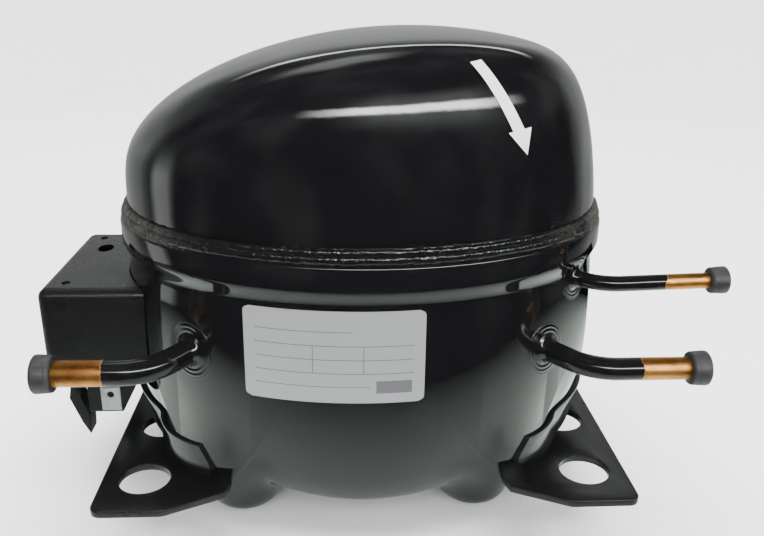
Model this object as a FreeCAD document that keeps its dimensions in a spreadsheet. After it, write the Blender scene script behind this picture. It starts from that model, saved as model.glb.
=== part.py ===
import FreeCAD, Part
import math
import os
import re
import Sketcher
from types import SimpleNamespace

# Hermetic reciprocating compressor: a welded two-piece steel shell on two feet, with its
# pump and motor hung on four springs inside and its start gear under a clip-on cover.
# Origin: centre of the foot-hole pattern, on the underside of the feet. +X points to the
# suction and discharge tubes, +Z up. Millimetres.

V = FreeCAD.Vector
doc = FreeCAD.newDocument("hermetic_compressor")
sheet = doc.addObject("Spreadsheet::Sheet", "sizes")

DIMENSIONS = {
    # welded shell
    "shell_half": 101.0,          # half length of the lower shell at its widest
    "shell_ratio": 0.766,         # width of the oval plan over its length
    "sheet_metal": 3.3,           # shell wall
    "bowl_start": 40.0,           # height where the wall begins to curve in
    "bowl_floor": -19.0,          # lowest point of the bowl
    "bowl_end_p": 3.0,            # roundness of the bowl towards +X and -X
    "bowl_end_q": 2.0,
    "bowl_side_p": 5.0,           # and towards +Y and -Y
    "bowl_side_q": 2.8,
    "neck_height": 74.0,          # narrow waist under the lip
    "neck_depth": 1.5,
    "lip_low": 81.0,
    "lip_top": 89.6,
    "seam_gap": 0.15,             # between the upper shell and the lip around it
    "bead_height": 6.4,
    "upper_half": 98.6,
    "upper_low": 79.0,            # bottom edge of the upper shell, inside the lip
    "dome_base": 96.0,
    "dome_height": 67.0,
    "dome_tilt": 0.103,           # the roof climbs towards +X
    "dome_fall": 0.21,            # and falls towards both ends
    "dome_crown": 4.0,
    "dome_p": 8.9,
    "dome_p_swing": 3.5,
    "dome_q": 2.46,
    "dome_q_swing": -1.17,
    "bulge_x": 47.0,              # the four spring seats pressed into the bowl
    "bulge_y": 41.0,
    "bulge_radius": 16.0,
    "bulge_round": 9.0,
    "bulge_floor": -27.0,
    # feet
    "foot_sheet": 3.0,
    "hole_spacing": 170.0,
    "outer_spacing": 146.0,
    "inner_spacing": 70.0,
    "foot_hole_radius": 9.5,
    "foot_reach": 101.0,
    "foot_front": 93.0,
    "foot_corner": 4.0,
    "saddle_top": 17.0,
    "seat_gap": 0.1,
    # connector tubes
    "process_radius": 4.8,
    "suction_radius": 4.3,
    "discharge_radius": 3.1,
    "tube_wall": 0.8,
    "process_angle": 228.1,
    "suction_angle": -45.6,
    "discharge_angle": -33.7,
    "process_height": 49.0,
    "suction_height": 46.8,
    "discharge_height": 72.0,
    "process_step": 17.48,        # the straight stretch's distance beyond the exit, along Y
    "suction_step": 17.76,
    "discharge_step": 8.14,
    "process_reach": 11.5,        # the open mouth's distance beyond the shell's end
    "suction_reach": 19.5,
    "discharge_reach": 33.0,
    "discharge_rise": 1.4,
    "tube_inside": 8.0,
    "tube_bend": 20.0,
    "plug_lip": 2.4,
    "plug_head": 7.0,
    "plug_stem": 11.0,
    "plug_clear": 0.1,
    # terminal, start gear and cover
    "terminal_height": 45.0,
    "cup_radius": 12.0,
    "cup_depth": 7.0,
    "pin_circle": 6.5,
    "pin_radius": 1.15,
    "glass_radius": 2.6,
    "pin_out": 13.0,
    "pin_in": 11.0,
    "fence_y": 24.0,
    "fence_z": 17.0,
    "fence_sheet": 1.5,
    "fence_out": 11.0,
    "cover_out": 29.0,            # cover face beyond the shell wall
    "cover_half_y": 38.0,
    "cover_low": 25.0,
    "cover_high": 66.0,
    "cover_wall": 2.0,
    "cover_round": 4.0,
    "cover_gap": 0.4,
    "clip_y": -25.0,
    "clip_width": 9.0,
    "clip_barrel": 2.2,
    "clip_pin": 1.0,              # moulded across the cover's two ears
    "clip_play": 0.1,
    "ear_thick": 2.0,
    # suspension and motor
    "spring_wire": 1.8,
    "spring_mean": 7.4,
    "spring_turns": 7.0,
    "spring_play": 0.3,
    "stator_x": 116.0,
    "stator_y": 100.0,
    "stator_low": 10.0,
    "stator_height": 40.0,
    "stator_corner": 14.0,
    "stator_bore": 30.3,
    "air_gap": 0.6,
    "slot_count": 24.0,
    "slot_width": 3.2,
    "slot_depth": 14.0,
    "winding_out": 46.0,
    "winding_in": 32.0,
    "winding_up": 14.0,
    "bolt_radius": 3.0,
    # pump
    "shaft_radius": 8.0,
    "shaft_clear": 0.03,
    "block_low": 70.0,
    "block_plate": 9.0,
    "web_low": 84.0,
    "web_sheet": 6.0,
    "web_radius": 20.0,
    "crank_throw": 8.0,
    "crank_pin_radius": 6.0,
    "pin_gap": 0.3,
    "rod_length": 38.0,
    "cylinder_height": 102.0,
    "cylinder_radius": 12.0,
    "piston_clear": 0.04,
    "piston_length": 20.0,
    "piston_crown": 8.7,          # from the wrist pin to the crown
    "wrist_radius": 4.0,
    "deck": 55.0,                 # X of the cylinder's end face
    "head_side": 44.0,
    "valve_sheet": 3.0,
    "gasket": 0.4,
    "head_depth": 15.0,
    "head_bolt_radius": 2.5,
    "line_radius": 2.0,
    "wire_radius": 1.2,
    # stickers
    "label_sheet": 0.25,
    "label_x": -12.5,
    "label_z": 54.5,
    "label_width": 66.0,
    "label_height": 35.5,
    "label_corner": 3.0,
}

for row, (alias, value) in enumerate(DIMENSIONS.items(), start=1):
    sheet.set("A%d" % row, alias)
    sheet.set("B%d" % row, repr(value))
    sheet.setAlias("B%d" % row, alias)
doc.recompute()
S = SimpleNamespace(**{alias: float(sheet.get(alias)) for alias in DIMENSIONS})

WORD = re.compile(r"[a-z][a-z_]*[a-z]")
TURNS = {
    "X": FreeCAD.Rotation(V(0, 1, 0), 90),
    "-X": FreeCAD.Rotation(V(0, 1, 0), -90),
    "Y": FreeCAD.Rotation(V(1, 0, 0), -90),
    "Z": FreeCAD.Rotation(),
}
NODES = []


# ---------------------------------------------------------------- helpers

def bound(text):
    """An expression with each named size pointed at the spreadsheet."""
    return WORD.sub(lambda found: "sizes." + found[0] if found[0] in DIMENSIONS else found[0], str(text))


def bind(item, at, **sizes):
    """Tie an object's sizes and position to the spreadsheet."""
    for prop, text in sizes.items():
        item.setExpression(prop, bound(text))
    for letter, text in zip("xyz", at):
        item.setExpression("Placement.Base." + letter, bound(text))
    return item


def disc(radius, height, at, axis="Z"):
    item = doc.addObject("Part::Cylinder", "disc")
    item.Placement = FreeCAD.Placement(V(), TURNS[axis])
    return bind(item, at, Radius=radius, Height=height)


def cone(low, high, height, at, axis="Z"):
    item = doc.addObject("Part::Cone", "cone")
    item.Placement = FreeCAD.Placement(V(), TURNS[axis])
    return bind(item, at, Radius1=low, Radius2=high, Height=height)


def block(size, at):
    """A box that starts at its low corner."""
    item = doc.addObject("Part::Box", "block")
    return bind(item, at, Length=size[0], Width=size[1], Height=size[2])


def fuse(*items):
    item = doc.addObject("Part::MultiFuse", "fuse")
    item.Shapes = list(items)
    return item


def cut(base, *tools):
    item = doc.addObject("Part::Cut", "cut")
    item.Base = base
    item.Tool = tools[0] if len(tools) == 1 else fuse(*tools)
    return item


def group(*items):
    """Separate solids that share one node."""
    item = doc.addObject("Part::Compound", "group")
    item.Links = list(items)
    return item


def rounded(base, radius, pick):
    """Fillet the edges of base that pick() chooses, with the radius held in the sheet."""
    doc.recompute()
    size = float(sheet.get(radius)) if radius in DIMENSIONS else float(radius)
    item = doc.addObject("Part::Fillet", "rounded")
    item.Base = base
    item.Edges = [(i, size, size) for i, edge in enumerate(base.Shape.Edges, start=1) if pick(edge)]
    return item


def along(direction):
    """Pick straight edges that run along a direction."""
    def test(edge):
        if edge.Curve.TypeId != "Part::GeomLine":
            return False
        return abs(abs(edge.Curve.Direction.dot(direction)) - 1) < 1e-6
    return test


def feature(shape):
    item = doc.addObject("Part::Feature", "shaped")
    item.Shape = shape
    return item


def node(label, item):
    item.Label = label
    NODES.append(item)
    return item


def corners(x, y):
    return [(i * x, j * y) for i in (-1, 1) for j in (-1, 1)]


# ---------------------------------------------------------------- shell surfaces

def oval(half, z, inset=0.0, wide=None):
    """Closed oval of the shell's plan at one height, moved in by inset."""
    wide = half * S.shell_ratio if wide is None else wide
    first = Part.Ellipse(V(0, 0, z), max(half, wide) - inset, min(half, wide) - inset)
    if wide > half:
        first.rotate(FreeCAD.Placement(V(0, 0, z), FreeCAD.Rotation(V(0, 0, 1), -90), V()))
    return Part.Wire(first.toShape())


def prism(half, low, high, inset=0.0):
    return Part.Face(oval(half, low, inset)).extrude(V(0, 0, high - low))


def lower_half(z):
    """Half length of the lower shell's outside at height z, from the floor to the waist."""
    if z >= S.bowl_start:
        return S.shell_half - S.neck_depth * ((z - S.bowl_start) / (S.neck_height - S.bowl_start)) ** 2
    depth = (S.bowl_start - z) / (S.bowl_start - S.bowl_floor)
    return S.shell_half * (1 - depth ** S.bowl_end_p) ** (1 / S.bowl_end_q)


def lower_wide(z):
    """Half width of the lower shell's outside at height z."""
    if z >= S.bowl_start:
        return lower_half(z) * S.shell_ratio
    depth = (S.bowl_start - z) / (S.bowl_start - S.bowl_floor)
    return S.shell_half * S.shell_ratio * (1 - depth ** S.bowl_side_p) ** (1 / S.bowl_side_q)


def bowl(inset=0.0):
    """The lower shell's body up to its waist, moved in by inset."""
    rings = []
    drop = S.bowl_start - S.bowl_floor - inset
    for depth in (0.996, 0.98, 0.95, 0.90, 0.83, 0.74, 0.62, 0.48, 0.30, 0.12):
        z = S.bowl_start - depth * (S.bowl_start - S.bowl_floor)
        rings.append(oval(lower_half(z), S.bowl_start - depth * drop, inset, lower_wide(z)))
    for step in range(5):
        z = S.bowl_start + (S.neck_height - S.bowl_start) * step / 4
        rings.append(oval(lower_half(z), z, inset))
    return Part.makeLoft(rings, True, False)


def bulges(inset=0.0):
    """The four rounded spring seats under the bowl."""
    low = S.bulge_floor + inset
    seats = []
    for x, y in corners(S.bulge_x, S.bulge_y):
        seat = Part.makeCylinder(S.bulge_radius - inset, 14 - low, V(x, y, low))
        rim = [edge for edge in seat.Edges if abs(edge.BoundBox.ZMax - low) < 1e-6]
        seats.append(seat.makeFillet(S.bulge_round - inset, rim))
    return seats


def flare():
    """The step from the waist out to the lip."""
    waist = lower_half(S.neck_height)
    lip = S.upper_half + S.seam_gap + S.sheet_metal
    rings = []
    for share, rise in ((0.0, 0.0), (0.25, 0.1), (0.5, 0.5), (0.75, 0.9), (1.0, 1.0)):
        z = S.neck_height + (S.lip_low - S.neck_height) * share
        rings.append(oval(waist + (lip - waist) * rise, z))
    return Part.makeLoft(rings, True, False)


def dome_ring(turn, shrink, inset, base, flat=False):
    """One ring of the dome. turn runs from 0 at the rim to 90 near the roof."""
    half = S.upper_half - inset
    wide = S.upper_half * S.shell_ratio - inset
    points = []
    for step in range(36):
        angle = 2 * math.pi * step / 36
        p = S.dome_p + S.dome_p_swing * math.cos(angle)
        q = S.dome_q + S.dome_q_swing * math.cos(angle)
        reach = math.cos(math.radians(turn)) ** (2 / p) * shrink
        x = half * reach * math.cos(angle)
        y = wide * reach * math.sin(angle)
        roof = S.dome_height - inset + S.dome_tilt * x - S.dome_fall * x * x / half
        roof -= S.dome_crown * (y / wide) ** 2
        lift = (1 - reach ** p) ** (1 / q) if reach < 1 else 0.0
        points.append(V(x, y, base + (S.dome_height - inset if flat else roof * lift)))
    curve = Part.BSplineCurve()
    curve.interpolate(points, PeriodicFlag=True)
    return Part.Wire(curve.toShape())


def dome(inset=0.0, low=None):
    """The upper shell's outside, moved in by inset, as a closed solid down to low."""
    low = S.upper_low if low is None else low
    rings = []
    for z in (low, (low + S.dome_base) / 2):
        rings.append(dome_ring(0, 1, inset, z))
    for turn in (0, 8, 18, 30, 42, 54, 65):
        rings.append(dome_ring(turn, 1, inset, S.dome_base))
    for shrink in (0.9, 0.74, 0.55, 0.35, 0.2):
        rings.append(dome_ring(65, shrink, inset, S.dome_base))
    rings.append(dome_ring(65, 0.08, inset, S.dome_base, flat=True))
    return Part.makeLoft(rings, True, False)


def wall_point(angle, z):
    """A point on the lower shell's outside and the outward normal there."""
    half = lower_half(z)
    wide = lower_wide(z)
    turn = math.radians(angle)
    point = V(half * math.cos(turn), wide * math.sin(turn), z)
    normal = V(point.x / half ** 2, point.y / wide ** 2, 0)
    return point, normal.normalize()


def pipe_path(points, radius):
    """Straight runs joined by tangent arcs."""
    edges = []
    start = points[0]
    for before, corner, after in zip(points, points[1:], points[2:]):
        back = (before - corner).normalize()
        on = (after - corner).normalize()
        half_turn = (math.pi - back.getAngle(on)) / 2
        reach = radius * math.tan(half_turn)
        first = corner + back * reach
        last = corner + on * reach
        middle_way = (back + on).normalize()
        centre = corner + middle_way * (radius / math.cos(half_turn))
        middle = centre - middle_way * radius
        edges.append(Part.LineSegment(start, first).toShape())
        edges.append(Part.Arc(first, middle, last).toShape())
        start = last
    edges.append(Part.LineSegment(start, points[-1]).toShape())
    return Part.Wire(edges)


def pipe(points, bend, radius, bore=0.0):
    """A round bar or tube along a path."""
    path = pipe_path(points, bend)
    heading = (points[1] - points[0]).normalize()

    def sweep(size):
        ring = Part.Wire(Part.Circle(points[0], heading, size).toShape())
        return path.makePipeShell([ring], True, True)
    return sweep(radius).cut(sweep(bore)) if bore else sweep(radius)


BOWL = bowl()
LOWER_OUTSIDE = BOWL.fuse([flare(), prism(S.upper_half + S.seam_gap + S.sheet_metal, S.lip_low, S.lip_top)]
                          + bulges())
DOME = dome()


# ---------------------------------------------------------------- connector tubes

def tube_route(name, side):
    """Named sizes of one connector tube, its route and its mouth."""
    read = {key: getattr(S, name + "_" + key) for key in ("radius", "angle", "height", "step", "reach")}
    wall, out = wall_point(read["angle"], read["height"])
    rise = S.discharge_rise if name == "discharge" else 0.0
    corner = wall - out * (read["step"] / out.y)
    mouth = V(side * (S.shell_half + read["reach"]), corner.y, read["height"] + rise)
    return SimpleNamespace(radius=read["radius"], wall=wall, out=out, side=side, mouth=mouth,
                           points=[wall - out * S.tube_inside, corner, mouth],
                           heading=(mouth - corner).normalize())


TUBES = {
    "process": tube_route("process", -1),
    "suction": tube_route("suction", 1),
    "discharge": tube_route("discharge", 1),
}


def tube_bores():
    """The holes that the tubes pass through the shell in."""
    drills = []
    for tube in TUBES.values():
        drills.append(Part.makeCylinder(tube.radius, 2 * S.tube_inside, tube.wall - tube.out * S.tube_inside, tube.out))
    return drills


def make_tubes():
    collars = []
    for name, tube in TUBES.items():
        bore = tube.radius - S.tube_wall
        node(name + "_tube", feature(pipe(tube.points, S.tube_bend, tube.radius, bore)))
        skirt = Part.makeCone(tube.radius + 5.0, tube.radius + 1.4, 6.4, tube.wall - tube.out * 4.0, tube.out)
        drill = Part.makeCylinder(tube.radius, 20, tube.wall - tube.out * 10, tube.out)
        collars.append(skirt.cut(LOWER_OUTSIDE).cut(drill))
        head = Part.makeCone(tube.radius + S.plug_lip - 0.5, tube.radius + S.plug_lip, S.plug_head,
                             tube.mouth, tube.heading)
        rim = [edge for edge in head.Edges if edge.Curve.TypeId == "Part::GeomCircle"]
        head = head.makeFillet(0.8, rim)
        stem = Part.makeCylinder(bore - S.plug_clear, S.plug_stem + 1, tube.mouth - tube.heading * S.plug_stem,
                                 tube.heading)
        node(name + "_plug", feature(head.fuse(stem).removeSplitter()))
    node("tube_collars", feature(Part.makeCompound(collars)))


# ---------------------------------------------------------------- shell pieces

def make_shell():
    """Both halves of the welded shell, the bead between them and the stickers."""
    shelf = S.upper_low - 0.3
    inside = prism(lower_half(S.neck_height), S.neck_height - 0.01, shelf + 0.01, S.sheet_metal)
    socket = prism(S.upper_half + S.seam_gap, shelf, S.lip_top + 1)
    cup_hole = Part.makeCylinder(S.cup_radius, 40, V(-S.shell_half - 20, 0, S.terminal_height), V(1, 0, 0))
    lower = LOWER_OUTSIDE.cut([bowl(S.sheet_metal), inside, socket, cup_hole] + bulges(S.sheet_metal) + tube_bores())
    node("lower_shell", feature(lower))
    node("upper_shell", feature(DOME.cut(dome(S.sheet_metal, S.upper_low - 1))))

    lip = S.upper_half + S.seam_gap + S.sheet_metal
    rings = [oval(lip - 0.5, S.lip_top), oval(lip - 1.0, S.lip_top + S.bead_height * 0.5),
             oval(S.upper_half + 0.4, S.lip_top + S.bead_height)]
    ring = Part.makeLoft(rings, True, True)
    node("weld_bead", feature(ring.cut(prism(S.upper_half, S.lip_top - 1, S.lip_top + S.bead_height + 1))))

    patch = Part.makeBox(S.label_width, S.shell_half, S.label_height,
                         V(S.label_x - S.label_width / 2, -S.shell_half, S.label_z - S.label_height / 2))
    upright = [edge for edge in patch.Edges if abs(edge.BoundBox.YLength - S.shell_half) < 1e-6]
    patch = patch.makeFillet(S.label_corner, upright)
    node("rating_label", feature(bowl(-S.label_sheet).common(patch).cut(BOWL)))

    # An arrow with a curved shaft, drawn on the XZ plane and laid on the dome's front right.
    shaft = [V(34.5, 0, 156.5), V(40.0, 0, 157.6), V(49.6, 0, 147.6), V(55.2, 0, 136.9)]
    head = [V(58.8, 0, 137.0), V(56.6, 0, 125.0), V(48.0, 0, 136.0)]
    back = [V(50.6, 0, 136.4), V(44.4, 0, 147.8)]
    sides = [Part.Arc(shaft[1], shaft[2], shaft[3]).toShape()]
    sides += [Part.LineSegment(a, b).toShape() for a, b in zip([shaft[3]] + head, head + [back[0]])]
    sides += [Part.Arc(back[0], back[1], shaft[0]).toShape(), Part.LineSegment(shaft[0], shaft[1]).toShape()]
    outline = Part.Face(Part.Wire(sides))
    outline.translate(V(0, -S.shell_half, 0))
    stamp = outline.extrude(V(0, S.shell_half - 30, 0))
    node("arrow_label", feature(dome(-S.label_sheet).common(stamp).cut(DOME)))


def make_feet():
    """Two pressed plates whose saddles are welded round the bowl."""
    seat = bowl(-S.seat_gap).fuse(bulges(-S.seat_gap))
    saddle = bowl(-S.seat_gap - S.foot_sheet)
    front = S.foot_front
    reach = S.foot_reach
    outline = [V(38, 40, 0), V(52, 77, 0), V(54, front - 10, 0), V(75, front, 0), V(reach, front, 0)]
    outline += [V(p.x, -p.y, 0) for p in reversed(outline)]
    plate = Part.Face(Part.makePolygon(outline + outline[:1])).extrude(V(0, 0, S.foot_sheet))
    tips = [edge for edge in plate.Edges if edge.BoundBox.ZLength > 1 and edge.BoundBox.XMin > 70]
    plate = plate.makeFillet(S.foot_corner, tips)
    reach_y = S.shell_half * 0.63
    band = Part.makeBox(reach, 2 * reach_y, S.saddle_top, V(42, -reach_y, 0))
    right = plate.fuse(saddle.common(band)).cut(seat)
    for spacing in (S.outer_spacing, S.inner_spacing):
        for side in (-1, 1):
            at = V(S.hole_spacing / 2, side * spacing / 2, -1)
            right = right.cut(Part.makeCylinder(S.foot_hole_radius, S.saddle_top + 2, at))
    right = max(right.Solids, key=lambda solid: solid.Volume)
    node("foot_right", feature(right))
    node("foot_left", feature(right.mirror(V(), V(1, 0, 0))))


# ---------------------------------------------------------------- terminal and start gear

def pin_places():
    """Y and Z expressions of the three terminal pins."""
    for angle in (90, 210, 330):
        yield ("pin_circle * %.9f" % math.cos(math.radians(angle)),
               "terminal_height + pin_circle * %.9f" % math.sin(math.radians(angle)))


def make_terminal():
    face = "-shell_half - cup_depth / 2"
    glass = [disc("glass_radius", "cup_depth", (face, y, z), "X") for y, z in pin_places()]
    pins = [disc("pin_radius", "cup_depth + pin_out + pin_in", (face + " - pin_out", y, z), "X")
            for y, z in pin_places()]
    cup = disc("cup_radius", "cup_depth", (face, "0", "terminal_height"), "X")
    node("terminal_cup", cut(cup, *[disc("glass_radius", "cup_depth + 2", (face + " - 1", y, z), "X")
                                    for y, z in pin_places()]))
    drills = [disc("pin_radius", "cup_depth + 2", (face + " - 1", y, z), "X") for y, z in pin_places()]
    node("pin_glass", group(*[cut(seal, drill) for seal, drill in zip(glass, drills)]))
    node("terminal_pins", group(*pins))

    inner = "shell_half - cup_depth / 2 - 1.0"
    body = rounded(block(("7", "20", "18"), ("-(" + inner + ")", "-10", "terminal_height - 8")), "1.5",
                   along(V(1, 0, 0)))
    sockets = [disc("pin_radius + 0.05", "9", ("-(" + inner + ") - 1", y, z), "X") for y, z in pin_places()]
    node("inner_connector", cut(body, *sockets))

    outside = feature(LOWER_OUTSIDE)
    length = "fence_out + 12"
    start = ("-shell_half - fence_out", "-fence_y", "terminal_height - fence_z")
    ring = rounded(block((length, "2 * fence_y", "2 * fence_z"), start), "5", along(V(1, 0, 0)))
    hollow = rounded(block((length + " + 2", "2 * (fence_y - fence_sheet)", "2 * (fence_z - fence_sheet)"),
                           (start[0] + " - 1", "-fence_y + fence_sheet",
                            "terminal_height - fence_z + fence_sheet")), "3.5", along(V(1, 0, 0)))
    node("terminal_fence", cut(ring, hollow, outside))

    tab = block(("14", "1.5", "12"), ("-shell_half - 8", "fence_y + 4", "terminal_height - 6"))
    hole = disc("2", "4", ("-shell_half - 3.5", "fence_y + 3", "terminal_height"), "Y")
    node("earth_tab", cut(tab, hole, outside))
    shank = disc("1.9", "5", ("-shell_half - 3.5", "fence_y + 1.5", "terminal_height"), "Y")
    head = disc("3.6", "2", ("-shell_half - 3.5", "fence_y + 5.5", "terminal_height"), "Y")
    node("earth_screw", fuse(shank, head))


def make_start_gear():
    """The starter on the two lower pins and the overload protector on the upper one."""
    near = "-shell_half - cup_depth / 2 - 1.5"
    depth = "cover_out - cover_wall - cup_depth / 2 - 2.5"
    far = "-shell_half - cover_out + cover_wall + 1"
    split = "terminal_height + 2.5"
    sill = "terminal_height - fence_z + fence_sheet + 0.5"
    base = rounded(block((depth, "26", split + " - (" + sill + ")"), (far, "-13", sill)), "2", along(V(1, 0, 0)))
    drop = block(("cover_out - cover_wall - fence_out - 1.6", "26", sill + " - 11"), (far, "-13", "12"))
    lobe = rounded(block(("13.5", "26", "16.5"), ("-shell_half - 15", "-33", "8")), "2.5", along(V(1, 0, 0)))
    shell = fuse(base, drop, lobe)
    holes = [disc("pin_radius + 0.05", "14", (near + " - 12.5", y, z), "X") for y, z in list(pin_places())[1:]]
    node("ptc_starter", cut(shell, *holes))
    tab = block(("8", "0.8", "11"), ("-shell_half - 9.5", "-33.8", "10"))
    node("starter_tab", cut(tab, disc("1.4", "4", ("-shell_half - 5.5", "-35", "17.5"), "Y")))
    body = rounded(block((depth, "27", "12.5"), (far, "-13.5", split + " + 0.4")), "3", along(V(1, 0, 0)))
    y, z = next(pin_places())
    node("overload_protector", cut(body, disc("pin_radius + 0.05", "14", (near + " - 12.5", y, z), "X")))


def make_cover():
    """A moulded cap over the start gear, open to the shell and below, with its cord clip."""
    far = "-shell_half - cover_out"
    tall = "cover_high - cover_low"
    body = block(("cover_out + 18", "2 * cover_half_y", tall), (far, "-cover_half_y", "cover_low"))
    body = rounded(body, "cover_round", lambda edge: edge.BoundBox.XMax < -S.shell_half - S.cover_out + 1
                   or (edge.BoundBox.ZMin > S.cover_high - 1 and edge.BoundBox.XLength > 5))
    hollow = block(("cover_out + 20", "2 * (cover_half_y - cover_wall)", tall),
                   (far + " + cover_wall", "-cover_half_y + cover_wall", "cover_low - cover_wall"))
    wall = feature(Part.makeCompound([bowl(-S.cover_gap)]))
    cord_hole = disc("2.2", "cover_wall + 2", (far + " + 13", "16", "cover_high - cover_wall - 1"))
    # Two ears hang from the face wall and carry the pin the clip swings on.
    pin_at = "cover_low - clip_barrel - 0.3"
    inner, outer = "clip_width / 2 + clip_play", "clip_width / 2 + clip_play + ear_thick"
    reach = "8 + clip_barrel"
    ear_size = (reach, "ear_thick", "2 * clip_barrel + 3.3")
    ears = [block(ear_size, (far, "clip_y " + side, pin_at + " - clip_barrel"))
            for side in ("+ " + inner, "- (" + outer + ")")]
    pin = disc("clip_pin", "2 * (" + outer + ") - 1", (far + " + 8", "clip_y - (" + outer + ") + 0.5", pin_at),
               axis="Y")
    node("terminal_cover", fuse(cut(body, hollow, wall, cord_hole), *ears, pin))

    # The clip's barrel turns on the pin, and its hook points down.
    pin_x = -S.shell_half - S.cover_out + 8
    pin_z = S.cover_low - S.clip_barrel - 0.3
    path = [V(pin_x - 1.6, 0, pin_z), V(pin_x - 3.2, 0, pin_z - 9), V(pin_x + 1.2, 0, pin_z - 21),
            V(pin_x + 4.0, 0, pin_z - 26.5), V(pin_x + 4.6, 0, pin_z - 17), V(pin_x + 1.6, 0, pin_z - 9),
            V(pin_x + 1.8, 0, pin_z)]
    hook = Part.Face(Part.makePolygon(path + path[:1])).extrude(V(0, S.clip_width, 0))
    barrel = Part.makeCylinder(S.clip_barrel, S.clip_width, V(pin_x, 0, pin_z), V(0, 1, 0))
    bore = Part.makeCylinder(S.clip_pin + S.clip_play, S.clip_width, V(pin_x, 0, pin_z), V(0, 1, 0))
    clip = hook.fuse(barrel).cut(bore).removeSplitter()
    clip.translate(V(0, S.clip_y - S.clip_width / 2, 0))
    node("cover_clip", feature(clip))


# ---------------------------------------------------------------- suspension and motor

def make_suspension():
    floor = "bulge_floor + sheet_metal"
    cap_low = "stator_low - 8"
    pins = []
    caps = []
    springs = []
    low = S.bulge_floor + S.sheet_metal + S.spring_play
    high = S.stator_low - 8 - S.spring_play
    radius = S.spring_wire / 2
    for x, y in corners(S.bulge_x, S.bulge_y):
        at = (str(x), str(y))
        pins.append(fuse(disc("spring_mean - 2.4", "6", at + (floor,)),
                         cone("spring_mean - 2.4", "spring_mean - 4", "3", at + (floor + " + 6",))))
        flange = disc("spring_mean + 2.6", "7.7", at + (cap_low,))
        stem = cone("spring_mean - 4", "spring_mean - 2.4", "8", at + (cap_low + " - 8",))
        caps.append(cut(fuse(flange, stem), disc("bolt_radius + 1.8", "5", at + ("stator_low - 4.3",))))
        height = high - low - S.spring_wire
        coil = Part.makeHelix(height / S.spring_turns, height, S.spring_mean)
        ring = Part.Wire(Part.Circle(V(S.spring_mean, 0, 0), V(0, 1, 0), radius).toShape())
        spring = Part.Wire(coil).makePipeShell([ring], True, True)
        spring.translate(V(x, y, low + radius))
        springs.append(spring)
    node("spring_pins", group(*pins))
    node("spring_caps", group(*caps))
    node("suspension_springs", feature(Part.makeCompound(springs)))


def make_motor():
    top = "stator_low + stator_height"
    core = block(("stator_x", "stator_y", "stator_height"), ("-stator_x / 2", "-stator_y / 2", "stator_low"))
    core = rounded(core, "stator_corner", along(V(0, 0, 1)))
    doc.recompute()
    bore = Part.makeCylinder(S.stator_bore, S.stator_height + 2, V(0, 0, S.stator_low - 1))
    count = int(S.slot_count)
    wide = S.slot_width
    slots = []
    wedges = []
    for step in range(count):
        turn = FreeCAD.Rotation(V(0, 0, 1), 360 * step / count)
        slot = Part.makeBox(S.slot_depth + 1, wide, S.stator_height + 2,
                            V(S.stator_bore - 1, -wide / 2, S.stator_low - 1))
        wedge = Part.makeBox(S.slot_depth - 2, wide - 0.4, S.stator_height - 0.2,
                             V(S.stator_bore + 1.5, -wide / 2 + 0.2, S.stator_low + 0.1))
        for shape, store in ((slot, slots), (wedge, wedges)):
            shape.Placement = FreeCAD.Placement(V(), turn)
            store.append(shape)
    bolts = [Part.makeCylinder(S.bolt_radius + 0.1, S.stator_height + 2, V(x, y, S.stator_low - 1))
             for x, y in corners(S.bulge_x, S.bulge_y)]
    node("stator_core", feature(core.Shape.cut([bore] + slots + bolts)))
    node("slot_windings", feature(Part.makeCompound(wedges)))

    for label, z in (("winding_upper", top + " + 0.3"), ("winding_lower", "stator_low - winding_up - 0.3")):
        ring = cut(disc("winding_out", "winding_up", ("0", "0", z)),
                   disc("winding_in", "winding_up + 2", ("0", "0", z + " - 1")))
        node(label, rounded(ring, "4", lambda edge: edge.Curve.TypeId == "Part::GeomCircle"))

    shanks = []
    for x, y in corners(S.bulge_x, S.bulge_y):
        at = (str(x), str(y))
        shanks.append(fuse(disc("bolt_radius", "block_low + block_plate - stator_low", at + ("stator_low",)),
                           disc("bolt_radius + 1.5", "4", at + ("stator_low - 4",))))
    node("stator_bolts", group(*shanks))

    reach = "stator_bore - air_gap"
    core = cut(disc(reach, "stator_height - 2", ("0", "0", "stator_low + 2")),
               disc("shaft_radius", "stator_height + 2", ("0", "0", "stator_low - 1")))
    node("rotor_core", core)
    rings = []
    for z in (top, "stator_low - 3"):
        rings.append(cut(disc(reach + " - 0.7", "5", ("0", "0", z)), disc("20", "7", ("0", "0", z + " - 1"))))
    node("rotor_rings", group(*rings))
    weight = cut(disc(reach + " - 1.7", "5", ("0", "0", "stator_low - 8")),
                 disc("19", "7", ("0", "0", "stator_low - 9")),
                 block(("2 * stator_bore", "2 * stator_bore", "9"), ("0", "-stator_bore", "stator_low - 10")))
    node("counterweight", weight)


# ---------------------------------------------------------------- pump

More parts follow.
